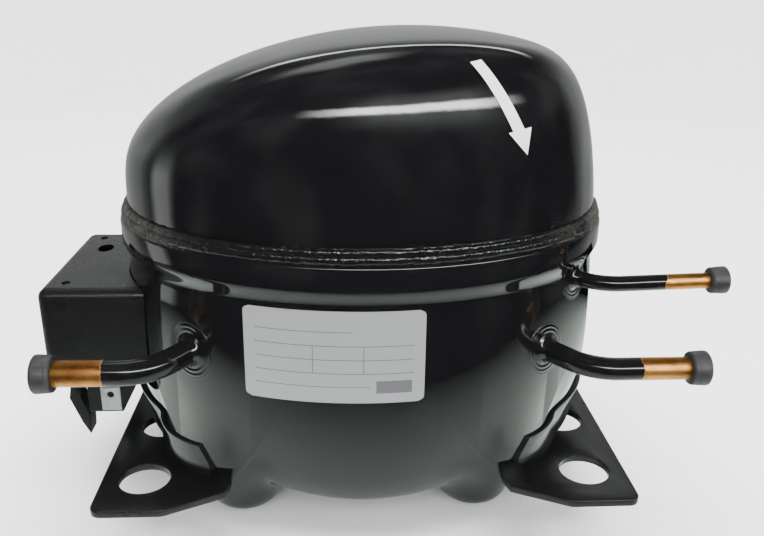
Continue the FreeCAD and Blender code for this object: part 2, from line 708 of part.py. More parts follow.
def crank_body():
    """Shaft and crank web, turned from one bar: a revolved sketch."""
    body = doc.addObject("PartDesign::Body", "crank_body")
    sketch = body.newObject("Sketcher::SketchObject", "crank_profile")
    plane = [item for item in body.Origin.OriginFeatures if item.Role == "XZ_Plane"][0]
    sketch.AttachmentSupport = [(plane, "")]
    sketch.MapMode = "FlatFace"
    rows = [("0", "0"), ("shaft_radius", "0"), ("shaft_radius", "web_low"), ("web_radius", "web_low"),
            ("web_radius", "web_low + web_sheet"), ("0", "web_low + web_sheet")]
    start = [V(0, 0), V(8, 0), V(8, 84), V(20, 84), V(20, 90), V(0, 90)]
    count = len(rows)
    for i in range(count):
        sketch.addGeometry(Part.LineSegment(start[i], start[(i + 1) % count]), False)
    for i in range(count):
        sketch.addConstraint(Sketcher.Constraint("Coincident", i, 2, (i + 1) % count, 1))
    for i, (x, y) in enumerate(rows):
        for kind, text in (("DistanceX", x), ("DistanceY", y)):
            value = start[i].x if kind == "DistanceX" else start[i].y
            index = sketch.addConstraint(Sketcher.Constraint(kind, -1, 1, i, 1, value))
            if text != "0":
                sketch.setExpression("Constraints[%d]" % index, bound(text))
    turn = body.newObject("PartDesign::Revolution", "crank_turn")
    turn.Profile = sketch
    turn.ReferenceAxis = (sketch, ["V_Axis"])
    turn.Angle = 360
    body.Tip = turn
    return body


def make_crank():
    node("crankshaft", crank_body())
    pickup = cut(cone("3.2", "shaft_radius - 2", "11", ("0", "0", "-11.2")),
                 cone("1.4", "shaft_radius - 3.6", "11.2", ("0", "0", "-11.3")))
    node("oil_pickup", pickup)
    pin = disc("crank_pin_radius", "cylinder_height + 6.5 - web_low - web_sheet - pin_gap",
               ("-crank_throw", "0", "web_low + web_sheet + pin_gap"))
    node("crank_pin", pin)
    node("thrust_washer", cut(disc("13", "1.3", ("0", "0", "web_low - 1.4")),
                              disc("shaft_radius + 0.2", "3", ("0", "0", "web_low - 2"))))


def make_block():
    """Cylinder block: plate on four legs, main bearing and cylinder in one casting."""
    top = "block_low + block_plate"
    plate = rounded(block(("2 * bulge_x + 16", "2 * bulge_y + 16", "block_plate"),
                          ("-bulge_x - 8", "-bulge_y - 8", "block_low")), "8", along(V(0, 0, 1)))
    legs = [disc("8", "block_low - stator_low - stator_height", (str(x), str(y), "stator_low + stator_height"))
            for x, y in corners(S.bulge_x, S.bulge_y)]
    hub = disc("15", "13", ("0", "0", "block_low - 13"))
    boss = disc("14", "web_low - 1.5 - " + "(" + top + ")", ("0", "0", top))
    side = "head_side"
    barrel = rounded(block(("deck - 22", side, side), ("22", "-head_side / 2", "cylinder_height - head_side / 2")),
                     "5", along(V(1, 0, 0)))
    chambers = [disc("16", "6", ("0", y, top)) for y in ("-36", "36")]
    body = fuse(plate, *legs, hub, boss, barrel, *chambers)
    bearing = disc("shaft_radius + shaft_clear", "40", ("0", "0", "block_low - 16"))
    bore = disc("cylinder_radius", "60", ("10", "0", "cylinder_height"), "X")
    bolts = [disc("bolt_radius + 0.1", "40", (str(x), str(y), "stator_low + stator_height - 2"))
             for x, y in corners(S.bulge_x, S.bulge_y)]
    threads = [disc("head_bolt_radius", "16", ("deck - 15", y, z), "X") for y, z in head_bolt_places()]
    chambers_in = [disc("12", "12", ("0", y, top + " + 1")) for y in ("-36", "36")]
    node("cylinder_block", cut(body, bearing, bore, *bolts, *threads, *chambers_in))
    caps = []
    for y in ("-36", "36"):
        shell = rounded(disc("14", "15", ("0", y, top + " + 6")), "4",
                        lambda edge: edge.BoundBox.ZMin > S.block_low + S.block_plate + 20)
        caps.append(cut(shell, disc("12", "13", ("0", y, top + " + 5"))))
    node("discharge_muffler_caps", group(*caps))


def head_bolt_places():
    for y in ("-head_side / 2 + 3.6", "head_side / 2 - 3.6"):
        for z in ("-head_side / 2 + 3.6", "head_side / 2 - 3.6"):
            yield y, "cylinder_height + (" + z + ")"


def slab(start, thick):
    """A square plate of the head's size, drilled for its bolts."""
    base = block((thick, "head_side", "head_side"), (start, "-head_side / 2", "cylinder_height - head_side / 2"))
    base = rounded(base, "5", along(V(1, 0, 0)))
    return base, [disc("head_bolt_radius + 0.1", thick + " + 2", (start + " - 1", y, z), "X")
                  for y, z in head_bolt_places()]


def make_head():
    plate_at = "deck + gasket"
    cover_at = "deck + gasket + valve_sheet"
    head_at = "deck + 2 * gasket + valve_sheet"
    base, holes = slab("deck", "gasket")
    node("cylinder_gasket", cut(base, disc("cylinder_radius + 1.2", "4", ("deck - 1", "0", "cylinder_height"), "X"),
                                *holes))
    base, holes = slab(plate_at, "valve_sheet")
    ports = [disc("2.6", "valve_sheet + 2", ("deck", y, "cylinder_height"), "X") for y in ("-6.5", "6.5")]
    node("valve_plate", cut(base, *ports, *holes))
    base, holes = slab(cover_at, "gasket")
    window = [block(("4", "15.5", "30"), (cover_at + " - 1", y, "cylinder_height - 15")) for y in ("-17", "1.5")]
    node("head_gasket", cut(base, *window, *holes))
    base, holes = slab(head_at, "head_depth")
    rooms = [block(("head_depth - 4", "15.5", "30"), (head_at + " - 0.01", y, "cylinder_height - 15"))
             for y in ("-17", "1.5")]
    inlet = disc("3", "14", ("deck + 10", "-9.3", "cylinder_height + 12"))
    node("cylinder_head", cut(base, *rooms, inlet, *holes))
    node("suction_reed", block(("0.25", "7.6", "16"), ("deck + 0.1", "-10", "cylinder_height - 8")))
    node("discharge_reed", block(("0.3", "8", "24"), (cover_at + " + 0.05", "2.5", "cylinder_height - 12")))
    node("reed_stop", block(("1.2", "9", "26"), (cover_at + " + 0.6", "2", "cylinder_height - 13")))
    bolts = []
    for y, z in head_bolt_places():
        shank = disc("head_bolt_radius", "14 + 2 * gasket + valve_sheet + head_depth", ("deck - 14", y, z), "X")
        bolts.append(fuse(shank, disc("head_bolt_radius + 1.6", "3", (head_at + " + head_depth", y, z), "X")))
    node("head_bolts", group(*bolts))


def make_running_gear():
    """Piston, wrist pin and connecting rod, drawn with the piston furthest from the head."""
    wrist = "rod_length - crank_throw"
    axis = "cylinder_height"
    radius = "cylinder_radius - piston_clear"
    body = disc(radius, "piston_length", (wrist + " + piston_crown - piston_length", "0", axis), "X")
    cavity = block(("piston_length - 2.4", "18", "10.8"),
                   (wrist + " + piston_crown - piston_length - 0.1", "-9", axis + " - 5.4"))
    node("piston", cut(body, cavity, disc("wrist_radius", "30", (wrist, "0", axis + " - 15"))))
    node("wrist_pin", disc("wrist_radius", "2 * cylinder_radius - 5", (wrist, "0", axis + " - cylinder_radius + 2.5")))
    big = disc("crank_pin_radius + 4.5", "10", ("-crank_throw", "0", axis + " - 5"))
    small = disc("wrist_radius + 2", "10", (wrist, "0", axis + " - 5"))
    shank = block(("rod_length - 10", "7", "7"), ("-crank_throw + 6", "-3.5", axis + " - 3.5"))
    holes = [disc("crank_pin_radius", "12", ("-crank_throw", "0", axis + " - 6")),
             disc("wrist_radius + shaft_clear", "12", (wrist, "0", axis + " - 6"))]
    node("connecting_rod", cut(fuse(big, small, shank), *holes))


def make_gas_path():
    """Moulded suction muffler, and the coiled-down line to the discharge tube."""
    low = "cylinder_height + head_side / 2 + 3"
    neck = disc("5", "3.2", ("deck + 10", "-9.3", "cylinder_height + head_side / 2"))
    tray = rounded(block(("64", "40", "10"), ("6", "-20", low)), "8", along(V(0, 0, 1)))
    lid = rounded(block(("64", "40", "10"), ("6", "-20", low + " + 10")), "8", along(V(0, 0, 1)))
    lid = rounded(lid, "3", lambda edge: edge.BoundBox.ZMin > S.cylinder_height + S.head_side / 2 + 22.9)
    snout = disc("6", "12", ("-4", "0", low + " + 5 + 1"), "X")
    node("muffler_tray", cut(fuse(tray, neck), disc("3", "6", ("deck + 10", "-9.3", low + " - 4"))))
    node("muffler_lid", lid)
    node("muffler_snout", cut(snout, disc("4.5", "14", ("-5", "0", low + " + 5 + 1"), "X"), tray, lid))

    end = TUBES["discharge"]
    join = end.points[0] - end.out * 0.3
    cap_top = S.block_low + S.block_plate + 21.3
    route = [V(0, -36, cap_top), V(0, -36, cap_top + 14), V(30, -52, cap_top + 14), V(60, -47, cap_top),
             V(61, -31, cap_top - 17), join - end.out * 10, join]
    node("discharge_line", feature(pipe(route, 5.0, S.line_radius, S.line_radius - 0.6)))

    plug_face = -S.shell_half + S.cup_depth / 2 + 8.3
    rise = S.stator_low + S.stator_height
    wires = []
    for y in (-5.0, 0.0, 5.0):
        points = [V(plug_face, y, S.terminal_height), V(plug_face + 9, y, S.terminal_height),
                  V(plug_face + 22, y, rise + 12), V(-S.winding_out - 0.3, y, rise + 8)]
        wires.append(pipe(points, 6.0, S.wire_radius))
    node("lead_wires", feature(Part.makeCompound(wires)))


make_shell()
make_feet()
make_tubes()
make_terminal()
make_start_gear()
make_cover()
make_suspension()
make_motor()
make_crank()
make_block()
make_head()
make_running_gear()
make_gas_path()
doc.recompute()

faults = [item.Label for item in doc.Objects if {"Invalid", "Error"} & set(item.State)]
for item in NODES:
    if item.Shape.isNull() or not item.Shape.isValid() or not item.Shape.Solids:
        faults.append(item.Label)
if faults:
    raise RuntimeError("faulty objects: " + ", ".join(faults))

os.makedirs("parts", exist_ok=True)
for item in NODES:
    item.Shape.exportStep(os.path.join("parts", item.Label + ".step"))
print(len(NODES), "nodes written")
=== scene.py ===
"""Looks of a sealed refrigeration compressor, laid out as a Blender add-on.

Lengths are in metres in the row frame: +X along the shell towards the suction and discharge
stubs, -Y the rating label's side, +Z up, origin under the foot plates.
"""

import math

import bmesh
import bpy
import numpy as np
from bpy.props import FloatProperty, FloatVectorProperty, IntProperty, PointerProperty
from bpy.types import Operator, Panel, PropertyGroup
from mathutils import Matrix, Vector

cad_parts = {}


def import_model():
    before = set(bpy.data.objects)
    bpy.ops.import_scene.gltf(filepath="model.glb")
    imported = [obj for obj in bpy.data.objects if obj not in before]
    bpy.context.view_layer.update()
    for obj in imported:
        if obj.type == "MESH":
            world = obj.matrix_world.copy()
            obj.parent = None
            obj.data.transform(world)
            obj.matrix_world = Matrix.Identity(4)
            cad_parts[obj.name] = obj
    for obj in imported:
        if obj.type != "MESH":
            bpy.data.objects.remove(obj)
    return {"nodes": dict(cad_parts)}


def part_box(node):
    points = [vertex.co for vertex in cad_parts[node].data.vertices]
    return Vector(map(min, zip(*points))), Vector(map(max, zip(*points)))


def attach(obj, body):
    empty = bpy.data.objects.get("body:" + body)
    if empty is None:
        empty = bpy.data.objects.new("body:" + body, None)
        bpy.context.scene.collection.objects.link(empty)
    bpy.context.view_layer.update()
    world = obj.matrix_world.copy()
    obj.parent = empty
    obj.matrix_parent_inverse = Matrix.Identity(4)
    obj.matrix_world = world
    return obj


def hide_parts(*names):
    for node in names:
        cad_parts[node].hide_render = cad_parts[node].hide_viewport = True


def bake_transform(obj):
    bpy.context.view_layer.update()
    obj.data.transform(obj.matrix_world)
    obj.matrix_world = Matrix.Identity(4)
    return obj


bl_info = {
    "name": "Hermetic compressor",
    "version": (1, 0, 0),
    "blender": (4, 5, 0),
    "location": "3D View > Sidebar > Compressor",
    "description": "Builds the looks of a sealed refrigeration compressor on its CAD frame",
    "category": "Object",
}

NODES = {}          # CAD objects by node name, filled by main()
MERGE = 1e-6        # points nearer to each other than this are one point
SHARP = 35.0        # degrees at an edge above which it is a real corner
SKIN = 0.0001       # how far stickers reach into the shell beyond their own thickness


# ---------------------------------------------------------------- sizes and colours

def length(name, default, text):
    return FloatProperty(name=name, description=text, default=default, unit="LENGTH", precision=5)


def number(name, default, text):
    return FloatProperty(name=name, description=text, default=default, precision=4)


def angle(name, degrees, text):
    return FloatProperty(name=name, description=text, default=math.radians(degrees), subtype="ANGLE")


def count(name, default, text):
    return IntProperty(name=name, description=text, default=default, min=3)


def colour(name, default, text):
    return FloatVectorProperty(name=name, description=text, default=default,
                               subtype="COLOR", size=3, min=0, max=1)


class ShellSizes(PropertyGroup):
    half: length("Half length", 0.101, "Half length of the lower shell")
    ratio: number("Plan ratio", 0.766, "Width of the oval plan over its length")
    sheet: length("Sheet", 0.0033, "Thickness of both shell halves")
    bowl_start: length("Bowl start", 0.040, "Height where the wall begins to curve in")
    bowl_floor: length("Bowl floor", -0.0205, "Lowest point of the bowl")
    end_power: number("End power", 3.0, "Fullness of the bowl towards both ends")
    end_root: number("End root", 2.1, "Fullness of the bowl's ends near the floor")
    side_power: number("Side power", 8.0, "Fullness of the bowl towards both sides")
    side_root: number("Side root", 3.0, "Fullness of the bowl's sides near the floor")
    neck_height: length("Neck height", 0.074, "Height of the narrow waist under the lip")
    neck_depth: length("Neck depth", 0.0015, "How far the waist is drawn in")
    lip_low: length("Lip low", 0.081, "Height where the flare meets the lip")
    lip_top: length("Lip top", 0.0896, "Top of the lip")
    lip_half: length("Lip half length", 0.10205, "Half length of the lip's outside")
    lip_round: length("Lip round", 0.0011, "Rounding of the lip's outer edge")
    upper_half: length("Upper half length", 0.0986, "Half length of the upper shell")
    upper_low: length("Upper low edge", 0.079, "Bottom edge of the upper shell inside the lip")
    dome_base: length("Dome base", 0.096, "Height where the upper wall starts to turn in")
    dome_height: length("Dome height", 0.067, "Rise of the roof over the dome base")
    dome_tilt: number("Dome tilt", 0.103, "Climb of the roof towards +X")
    dome_fall: number("Dome fall", 0.21, "Fall of the roof towards both ends")
    dome_crown: length("Dome crown", 0.004, "Fall of the roof towards both sides")
    bulge_x: length("Bulge X", 0.0485, "Spring seat centres along X")
    bulge_y: length("Bulge Y", 0.043, "Spring seat centres along Y")
    bulge_shift: length("Bulge shift", -0.0022, "Shift of all four spring seats along X")
    bulge_floor: length("Bulge floor", -0.027, "Underside of the spring seats")
    bulge_flat: length("Bulge flat", 0.007, "Radius of the flat under each seat")
    bulge_round: length("Bulge round", 0.009, "Rounding of each seat's lower edge")
    bulge_slope: number("Bulge slope", 2.6, "Steepness of each seat's wall")
    bulge_blend: length("Bulge blend", 0.011, "Softness of the join between seat and bowl")
    around: count("Points around", 320, "Points in one ring of the shell")


class BeadSizes(PropertyGroup):
    height: length("Height", 0.0064, "Height of the weld bead")
    ripples: count("Ripples", 330, "Ripples in each row around the bead")
    ripple_length: length("Ripple length", 0.0026, "Half length of one ripple along the bead")
    ripple_out: length("Ripple depth", 0.00125, "Half depth of one ripple")
    ripple_up: length("Ripple height", 0.0019, "Half height of one ripple")
    seed: IntProperty(name="Seed", description="Seed of the ripples' variation", default=7)


class TubeSizes(PropertyGroup):
    process_radius: length("Process radius", 0.0048, "Outside radius of the process stub")
    suction_radius: length("Suction radius", 0.0043, "Outside radius of the suction stub")
    discharge_radius: length("Discharge radius", 0.0031, "Outside radius of the discharge stub")
    wall: length("Wall", 0.0008, "Wall of the stubs")
    bend: length("Bend", 0.020, "Bend radius on the centreline")
    inside: length("Inside", 0.008, "Length of stub inside the shell")
    puddle: length("Paint ring", 0.0066, "Reach of the brazed collar beyond the stub")
    lip: length("Plug lip", 0.0024, "Reach of the plug's head beyond the stub")
    head: length("Plug head", 0.007, "Length of the plug's head")
    stem: length("Plug stem", 0.011, "Length of the plug's stem inside the stub")


class FootSizes(PropertyGroup):
    sheet: length("Sheet", 0.003, "Thickness of the foot plates")
    edge: length("Edge", 0.0005, "Rounding of the plates' edges")
    reach: length("Reach", 0.101, "Outer edge of the plates along X")
    front: length("Front", 0.093, "Outer edge of the plates along Y")
    corner: length("Corner", 0.004, "Rounding of the plates' corners")
    hole: length("Hole radius", 0.0095, "Radius of the mounting holes")
    hole_x: length("Hole X", 0.085, "Holes' distance from the middle along X")
    outer_y: length("Outer hole Y", 0.073, "Outer holes' distance from the middle along Y")
    inner_y: length("Inner hole Y", 0.035, "Inner holes' distance from the middle along Y")
    saddle_top: length("Saddle top", 0.017, "Height of the saddle's upper edge")
    blend: length("Saddle bend", 0.0075, "Reach of the bend between plate and saddle")
    arc: angle("Plate arc", 52.0, "Half of the bowl's arc that the plate meets")
    saddle_share: number("Saddle share", 0.93, "Part of that arc that the saddle covers")


class CoverSizes(PropertyGroup):
    vent_x: length("Vent X", 0.0140, "Vent's distance from the cover's outer face")
    vent_y: length("Vent Y", 0.0145, "Vent's place along Y")
    vent_half: length("Vent half length", 0.0034, "Half size of the oval vent along X")
    vent_wide: length("Vent half width", 0.0050, "Half size of the oval vent along Y")
    dimple_x: length("Dimple X", 0.0095, "Dimples' distance from the cover's outer face")
    dimple_y: length("Dimple Y", 0.029, "Dimples' distance from the middle along Y")
    dimple: length("Dimple radius", 0.0016, "Radius of the two dimples")


class SpringSizes(PropertyGroup):
    wire: length("Wire", 0.0018, "Thickness of the springs' wire")
    mean: length("Mean radius", 0.0074, "Radius of the coils' centreline")
    turns: number("Turns", 7.0, "Turns of each spring, with its two closed ends")
    sleeve: length("Sleeve radius", 0.0012, "Radius of the motor leads' sleeves")
    gap: length("Lead spacing", 0.005, "Distance between the motor leads")
    straight: length("Lead straight", 0.009, "Straight run of the leads out of their connector")
    rise: length("Lead rise", 0.022, "Run along X after which the leads are at their highest")


class LabelSizes(PropertyGroup):
    centre_x: length("Centre X", -0.0125, "Middle of the rating label along X")
    centre_z: length("Centre Z", 0.0545, "Middle of the rating label in height")
    width: length("Width", 0.066, "Width of the rating label")
    height: length("Height", 0.036, "Height of the rating label")
    corner: length("Corner", 0.0022, "Corner radius of the rating label")
    sheet: length("Sheet", 0.0002, "Thickness of both stickers")


class Finishes(PropertyGroup):
    paint: colour("Paint", (0.0045, 0.0045, 0.0050), "Baked black enamel")
    dust: colour("Dust", (0.075, 0.068, 0.056), "Dry film and dust on the weld bead")
    copper: colour("Copper", (0.92, 0.46, 0.13), "Drawn copper")
    copper_dark: colour("Copper, dull", (0.58, 0.20, 0.06), "Oxidised copper")
    rubber: colour("Rubber", (0.018, 0.018, 0.020), "Plug rubber")
    plastic: colour("Plastic", (0.0055, 0.0055, 0.006), "Cover and start gear")
    silver: colour("Silver", (0.40, 0.41, 0.41), "Rating label")
    rule: colour("Rule", (0.09, 0.09, 0.10), "Printed rules")
    white: colour("White", (0.82, 0.82, 0.80), "Arrow sticker")
    zinc: colour("Zinc", (0.48, 0.49, 0.51), "Zinc plate")
    floor: colour("Floor", (0.88, 0.88, 0.88), "Studio floor")
    card: colour("Card", (0.58, 0.65, 0.60), "Grey card that the bowl mirrors")


class StageSettings(PropertyGroup):
    eye: FloatVectorProperty(name="Eye", description="Where the camera stands", size=3,
                             subtype="TRANSLATION", default=(-0.011164, -0.335759, 0.184849), precision=5)
    pitch: angle("Pitch", 20.2484, "Tilt of the view below the horizon")
    yaw: angle("Yaw", 3.3964, "Turn of the view towards +X")
    roll: angle("Roll", 0.8021, "Turn about the line of sight")
    lens: number("Lens", 37.70, "Focal length in millimetres on a 36 mm sensor")
    floor_z: length("Floor", -0.0271, "Height of the floor")
    card_front: length("Card front", 0.20, "Reach of the grey reflection card in front of the part")
    card_side: length("Card side", 0.36, "Reach of the grey reflection card to both sides")
    card_fade: number("Card fade", 0.60, "Part of the card's reach over which its grey fades")


# ---------------------------------------------------------------- mesh helpers

def ring_faces(rings, around, loop):
    """Quads that join each ring of points to the next."""
    step = np.arange(around)
    ahead = (step + 1) % around
    faces = []
    for index in range(rings if loop else rings - 1):
        low, high = index * around, ((index + 1) % rings) * around
        faces.append(np.stack([low + step, low + ahead, high + ahead, high + step], 1))
    return np.concatenate(faces)


def place(name, data):
    """A new object in the scene for some data."""
    item = bpy.data.objects.new(name, data)
    bpy.context.scene.collection.objects.link(item)
    return item


def evaluated_mesh(item):
    """The mesh that an object shows once its modifiers are applied."""
    bpy.context.view_layer.update()
    return bpy.data.meshes.new_from_object(item.evaluated_get(bpy.context.evaluated_depsgraph_get()))


def make_mesh(name, points, faces, sharp=SHARP, merge=MERGE):
    """A closed mesh object with outward normals, merged poles and sharp edges over an angle."""
    mesh = bpy.data.meshes.new(name)
    mesh.from_pydata([tuple(p) for p in points], [], [tuple(int(i) for i in f) for f in faces])
    work = bmesh.new()
    work.from_mesh(mesh)
    bmesh.ops.remove_doubles(work, verts=work.verts, dist=merge)
    bmesh.ops.recalc_face_normals(work, faces=work.faces)
    work.to_mesh(mesh)
    work.free()
    mesh.shade_smooth()
    mesh.set_sharp_from_angle(angle=math.radians(sharp))
    return place(name, mesh)


def solid(name, rings, loop=False, cap=False, sharp=SHARP):
    """A body from rings of equal count: a loop of rings, or a run with poles or flat caps."""
    rings = np.asarray(rings, float)
    total, around = rings.shape[:2]
    faces = [tuple(f) for f in ring_faces(total, around, loop)]
    if cap:
        faces.append(tuple(range(around)))
        faces.append(tuple((total - 1) * around + i for i in range(around)))
    return make_mesh(name, rings.reshape(-1, 3), faces, sharp)


def join(name, items):
    """One object from several, with each one's materials kept."""
    bpy.ops.object.select_all(action="DESELECT")
    for item in items:
        item.select_set(True)
    bpy.context.view_layer.objects.active = items[0]
    bpy.ops.object.join()
    items[0].name = name
    items[0].data.name = name
    return items[0]


def frames(path):
    """A point and two cross directions at each point of a path, without twist."""
    path = [Vector(p) for p in path]
    side = None
    found = []
    for index, point in enumerate(path):
        along = (path[min(index + 1, len(path) - 1)] - path[max(index - 1, 0)]).normalized()
        if side is None:
            side = along.orthogonal().normalized()
        side = (side - along * side.dot(along)).normalized()
        found.append((point, side, along.cross(side)))
    return found


def ring(frame, radius, around):
    """A circle of points in one frame of a path."""
    point, side, up = frame
    return [tuple(point + side * (radius * math.cos(t)) + up * (radius * math.sin(t)))
            for t in (2 * math.pi * i / around for i in range(around))]


def lathe(name, origin, axis, profile, around=56, loop=True, sharp=SHARP):
    """A turned body: profile holds (radius, height along the axis)."""
    axis = Vector(axis).normalized()
    side = axis.orthogonal().normalized()
    up = axis.cross(side)
    rings = [ring((Vector(origin) + axis * height, side, up), radius, around) for radius, height in profile]
    return solid(name, rings, loop=loop, sharp=sharp)


def bent(points, radius, steps=14):
    """A centreline through the points with its corners rounded."""
    points = [Vector(p) for p in points]
    path = [points[0]]
    for before, corner, after in zip(points, points[1:], points[2:]):
        back, ahead = (before - corner).normalized(), (after - corner).normalized()
        half = back.angle(ahead) / 2
        centre = corner + (back + ahead).normalized() * (radius / math.sin(half))
        first = corner + back * (radius / math.tan(half)) - centre
        last = corner + ahead * (radius / math.tan(half)) - centre
        axis, turn = first.cross(last), first.angle(last)
        path += [centre + Matrix.Rotation(turn * i / steps, 3, axis) @ first for i in range(steps + 1)]
    return path + [points[-1]]


def finish_piece(item, body, materials, nodes=()):
    """Gives a piece its materials and its body, and hides the CAD nodes it replaces; a piece given two bodies
    only has its placement baked into its mesh.
    """
    item.data.materials.clear()
    for material in materials:
        item.data.materials.append(material)
    if isinstance(body, str):
        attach(item, body)
    else:
        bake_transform(item)
    if nodes:
        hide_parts(*nodes)
    return item


# ---------------------------------------------------------------- shell surfaces

def dome_powers(theta):
    """Powers of the dome's wall and roof in the directions theta: fuller towards +X than towards -X."""
    return 8.9 + 3.5 * np.cos(theta), 2.46 - 1.17 * np.cos(theta)


def dome_roof(s, x, y, half, wide, inset):
    """Height of the leaning roof over the dome's base."""
    arch = s.dome_height - inset + s.dome_tilt * x - s.dome_fall * x * x / half
    return arch - s.dome_crown * (y / wide) ** 2


def dome_ring(s, turn, shrink, inset=0.0, z=None, around=320):
    """One ring of the dome, or of the straight wall under it when z is given."""
    theta = np.arange(around) * (2 * math.pi / around)
    half, wide = s.upper_half - inset, s.upper_half * s.ratio - inset
    p, q = dome_powers(theta)
    reach = np.cos(math.radians(turn)) ** (2 / p) * shrink
    x, y = half * reach * np.cos(theta), wide * reach * np.sin(theta)
    if z is not None:
        return np.stack([x, y, np.full(around, z)], 1)
    lift = np.clip(1 - reach ** p, 0, 1) ** (1 / q)
    return np.stack([x, y, s.dome_base + dome_roof(s, x, y, half, wide, inset) * lift], 1)


def dome_height_at(s, x, y):
    """Height of the dome's surface over points of the plan."""
    half, wide = s.upper_half, s.upper_half * s.ratio
    theta = np.arctan2(y / wide, x / half)
    reach = np.clip(np.hypot(x / half, y / wide), 0, 1)
    p, q = dome_powers(theta)
    return s.dome_base + dome_roof(s, x, y, half, wide, 0.0) * (1 - reach ** p) ** (1 / q)


def lower_sizes(s, z):
    """Half length and half width of the lower shell's outside at height z."""
    if z >= s.bowl_start:
        share = (z - s.bowl_start) / (s.neck_height - s.bowl_start)
        half = s.half - s.neck_depth * min(share, 1.0) ** 2
        if z > s.neck_height:
            rise = min((z - s.neck_height) / (s.lip_low - s.neck_height), 1.0)
            half += (s.lip_half - half) * rise * rise * (3 - 2 * rise)
        return half, half * s.ratio
    depth = (s.bowl_start - z) / (s.bowl_start - s.bowl_floor)
    return (s.half * max(1 - depth ** s.end_power, 0) ** (1 / s.end_root),
            s.half * s.ratio * max(1 - depth ** s.side_power, 0) ** (1 / s.side_root))


def oval(half, wide, z, around):
    """A level ring of points with the given half length and half width."""
    theta = np.arange(around) * (2 * math.pi / around)
    return np.stack([half * np.cos(theta), wide * np.sin(theta), np.full(around, z)], 1)


def press_seats(s, x, y, z, inset=0.0):
    """Height of the bowl at points of the plan once the four spring seats are pressed out of it."""
    flat, bend = s.bulge_flat, s.bulge_round
    lean = s.bulge_slope / math.hypot(1, s.bulge_slope)
    for seat_x in (s.bulge_shift - s.bulge_x, s.bulge_shift + s.bulge_x):
        for seat_y in (-s.bulge_y, s.bulge_y):
            off = np.hypot(x - seat_x, y - seat_y) + inset
            over = np.clip(off - flat, 0, bend * lean)
            seat = s.bulge_floor + inset + bend - np.sqrt(bend ** 2 - over ** 2)
            seat = seat + s.bulge_slope * np.clip(off - flat - bend * lean, 0, None)
            mix = np.clip(0.5 + 0.5 * (seat - z) / s.bulge_blend, 0, 1)
            z = seat * (1 - mix) + z * mix - s.bulge_blend * mix * (1 - mix)
    return np.maximum(z, s.bulge_floor + inset)


def bowl_rings(s, depths, inset, around):
    """Rings of the bowl, with the four spring seats pressed out of it."""
    rings = []
    for depth in depths:
        half, wide = lower_sizes(s, s.bowl_start - depth * (s.bowl_start - s.bowl_floor))
        scale = 1 - inset / s.half
        z = s.bowl_start - depth * (s.bowl_start - s.bowl_floor - inset)
        points = oval(half * scale, wide * scale, z, around)
        points[:, 2] = press_seats(s, points[:, 0], points[:, 1], points[:, 2], inset)
        rings.append(points)
    return rings


def bowl_contour(s, z, angles, away):
    """Points around the bowl's outside at one height, found by halving and moved outwards by away."""
    spread = np.array(angles)[:, None] + np.array([-0.01, 0.0, 0.01])[None, :]
    low, high = np.full(spread.shape, 0.02), np.full(spread.shape, 0.11)
    for _ in range(26):
        mid = (low + high) / 2
        x, y = mid * np.cos(spread), mid * np.sin(spread)
        bottom, top = np.full(spread.shape, s.bowl_floor + 1e-6), np.full(spread.shape, s.bowl_start)
        for _ in range(22):
            level = (bottom + top) / 2
            depth = (s.bowl_start - level) / (s.bowl_start - s.bowl_floor)
            half = s.half * (1 - depth ** s.end_power) ** (1 / s.end_root)
            wide = s.half * s.ratio * (1 - depth ** s.side_power) ** (1 / s.side_root)
            outside = (x / half) ** 2 + (y / wide) ** 2 > 1
            bottom, top = np.where(outside, level, bottom), np.where(outside, top, level)
        above = press_seats(s, x, y, level) > z
        low, high = np.where(above, low, mid), np.where(above, mid, high)
    x, y = mid * np.cos(spread), mid * np.sin(spread)
    normal = np.stack([y[:, 2] - y[:, 0], x[:, 0] - x[:, 2]], 1)
    normal /= np.linalg.norm(normal, axis=1)[:, None]
    return np.stack([x[:, 1] + normal[:, 0] * away, y[:, 1] + normal[:, 1] * away,
                     np.full(len(angles), z)], 1)


def wall_point(s, degrees, z):
    """A point on the lower shell's wall and the outward direction there."""
    half, wide = lower_sizes(s, z)
    t = math.radians(degrees)
    point = Vector((half * math.cos(t), wide * math.sin(t), z))
    return point, Vector((point.x / half ** 2, point.y / wide ** 2, 0)).normalized()


def tube_routes(s, t):
    """Radius, wall point, outward direction, heading and centreline corners of each stub."""
    # Radius, direction in degrees and height at the wall, Y of the straight run, and X and Z of the mouth.
    plan = {
        "process": (t.process_radius, 228.1, 0.049, -0.075, (-0.1125, 0.049)),
        "suction": (t.suction_radius, -45.6, 0.0468, -0.073, (0.1205, 0.0468)),
        "discharge": (t.discharge_radius, -33.7, 0.072, -0.0505, (0.134, 0.0734)),
    }
    routes = {}
    for name, (radius, degrees, z, run, (end_x, end_z)) in plan.items():
        wall, out = wall_point(s, degrees, z)
        corner = wall + out * ((run - wall.y) / out.y)
        mouth = Vector((end_x, run, end_z))
        corners = [wall - out * t.inside, corner, mouth]
        routes[name] = (radius, wall, out, (mouth - corner).normalized(), corners)
    return routes


# ---------------------------------------------------------------- node helpers

def add(tree, kind, **values):
    """A node with properties by name and input values by socket name or number."""
    node = tree.nodes.new(kind)
    for key, value in values.pop("inputs", {}).items():
        node.inputs[key].default_value = value
    for key, value in values.items():
        setattr(node, key, value)
    return node


def link(tree, source, target):
    tree.links.new(source, target)


def calc(tree, operation, first, second):
    """A math node fed by sockets or plain numbers."""
    node = add(tree, "ShaderNodeMath", operation=operation)
    for index, value in enumerate((first, second)):
        if isinstance(value, (int, float)):
            node.inputs[index].default_value = value
        else:
            link(tree, value, node.inputs[index])
    return node.outputs[0]


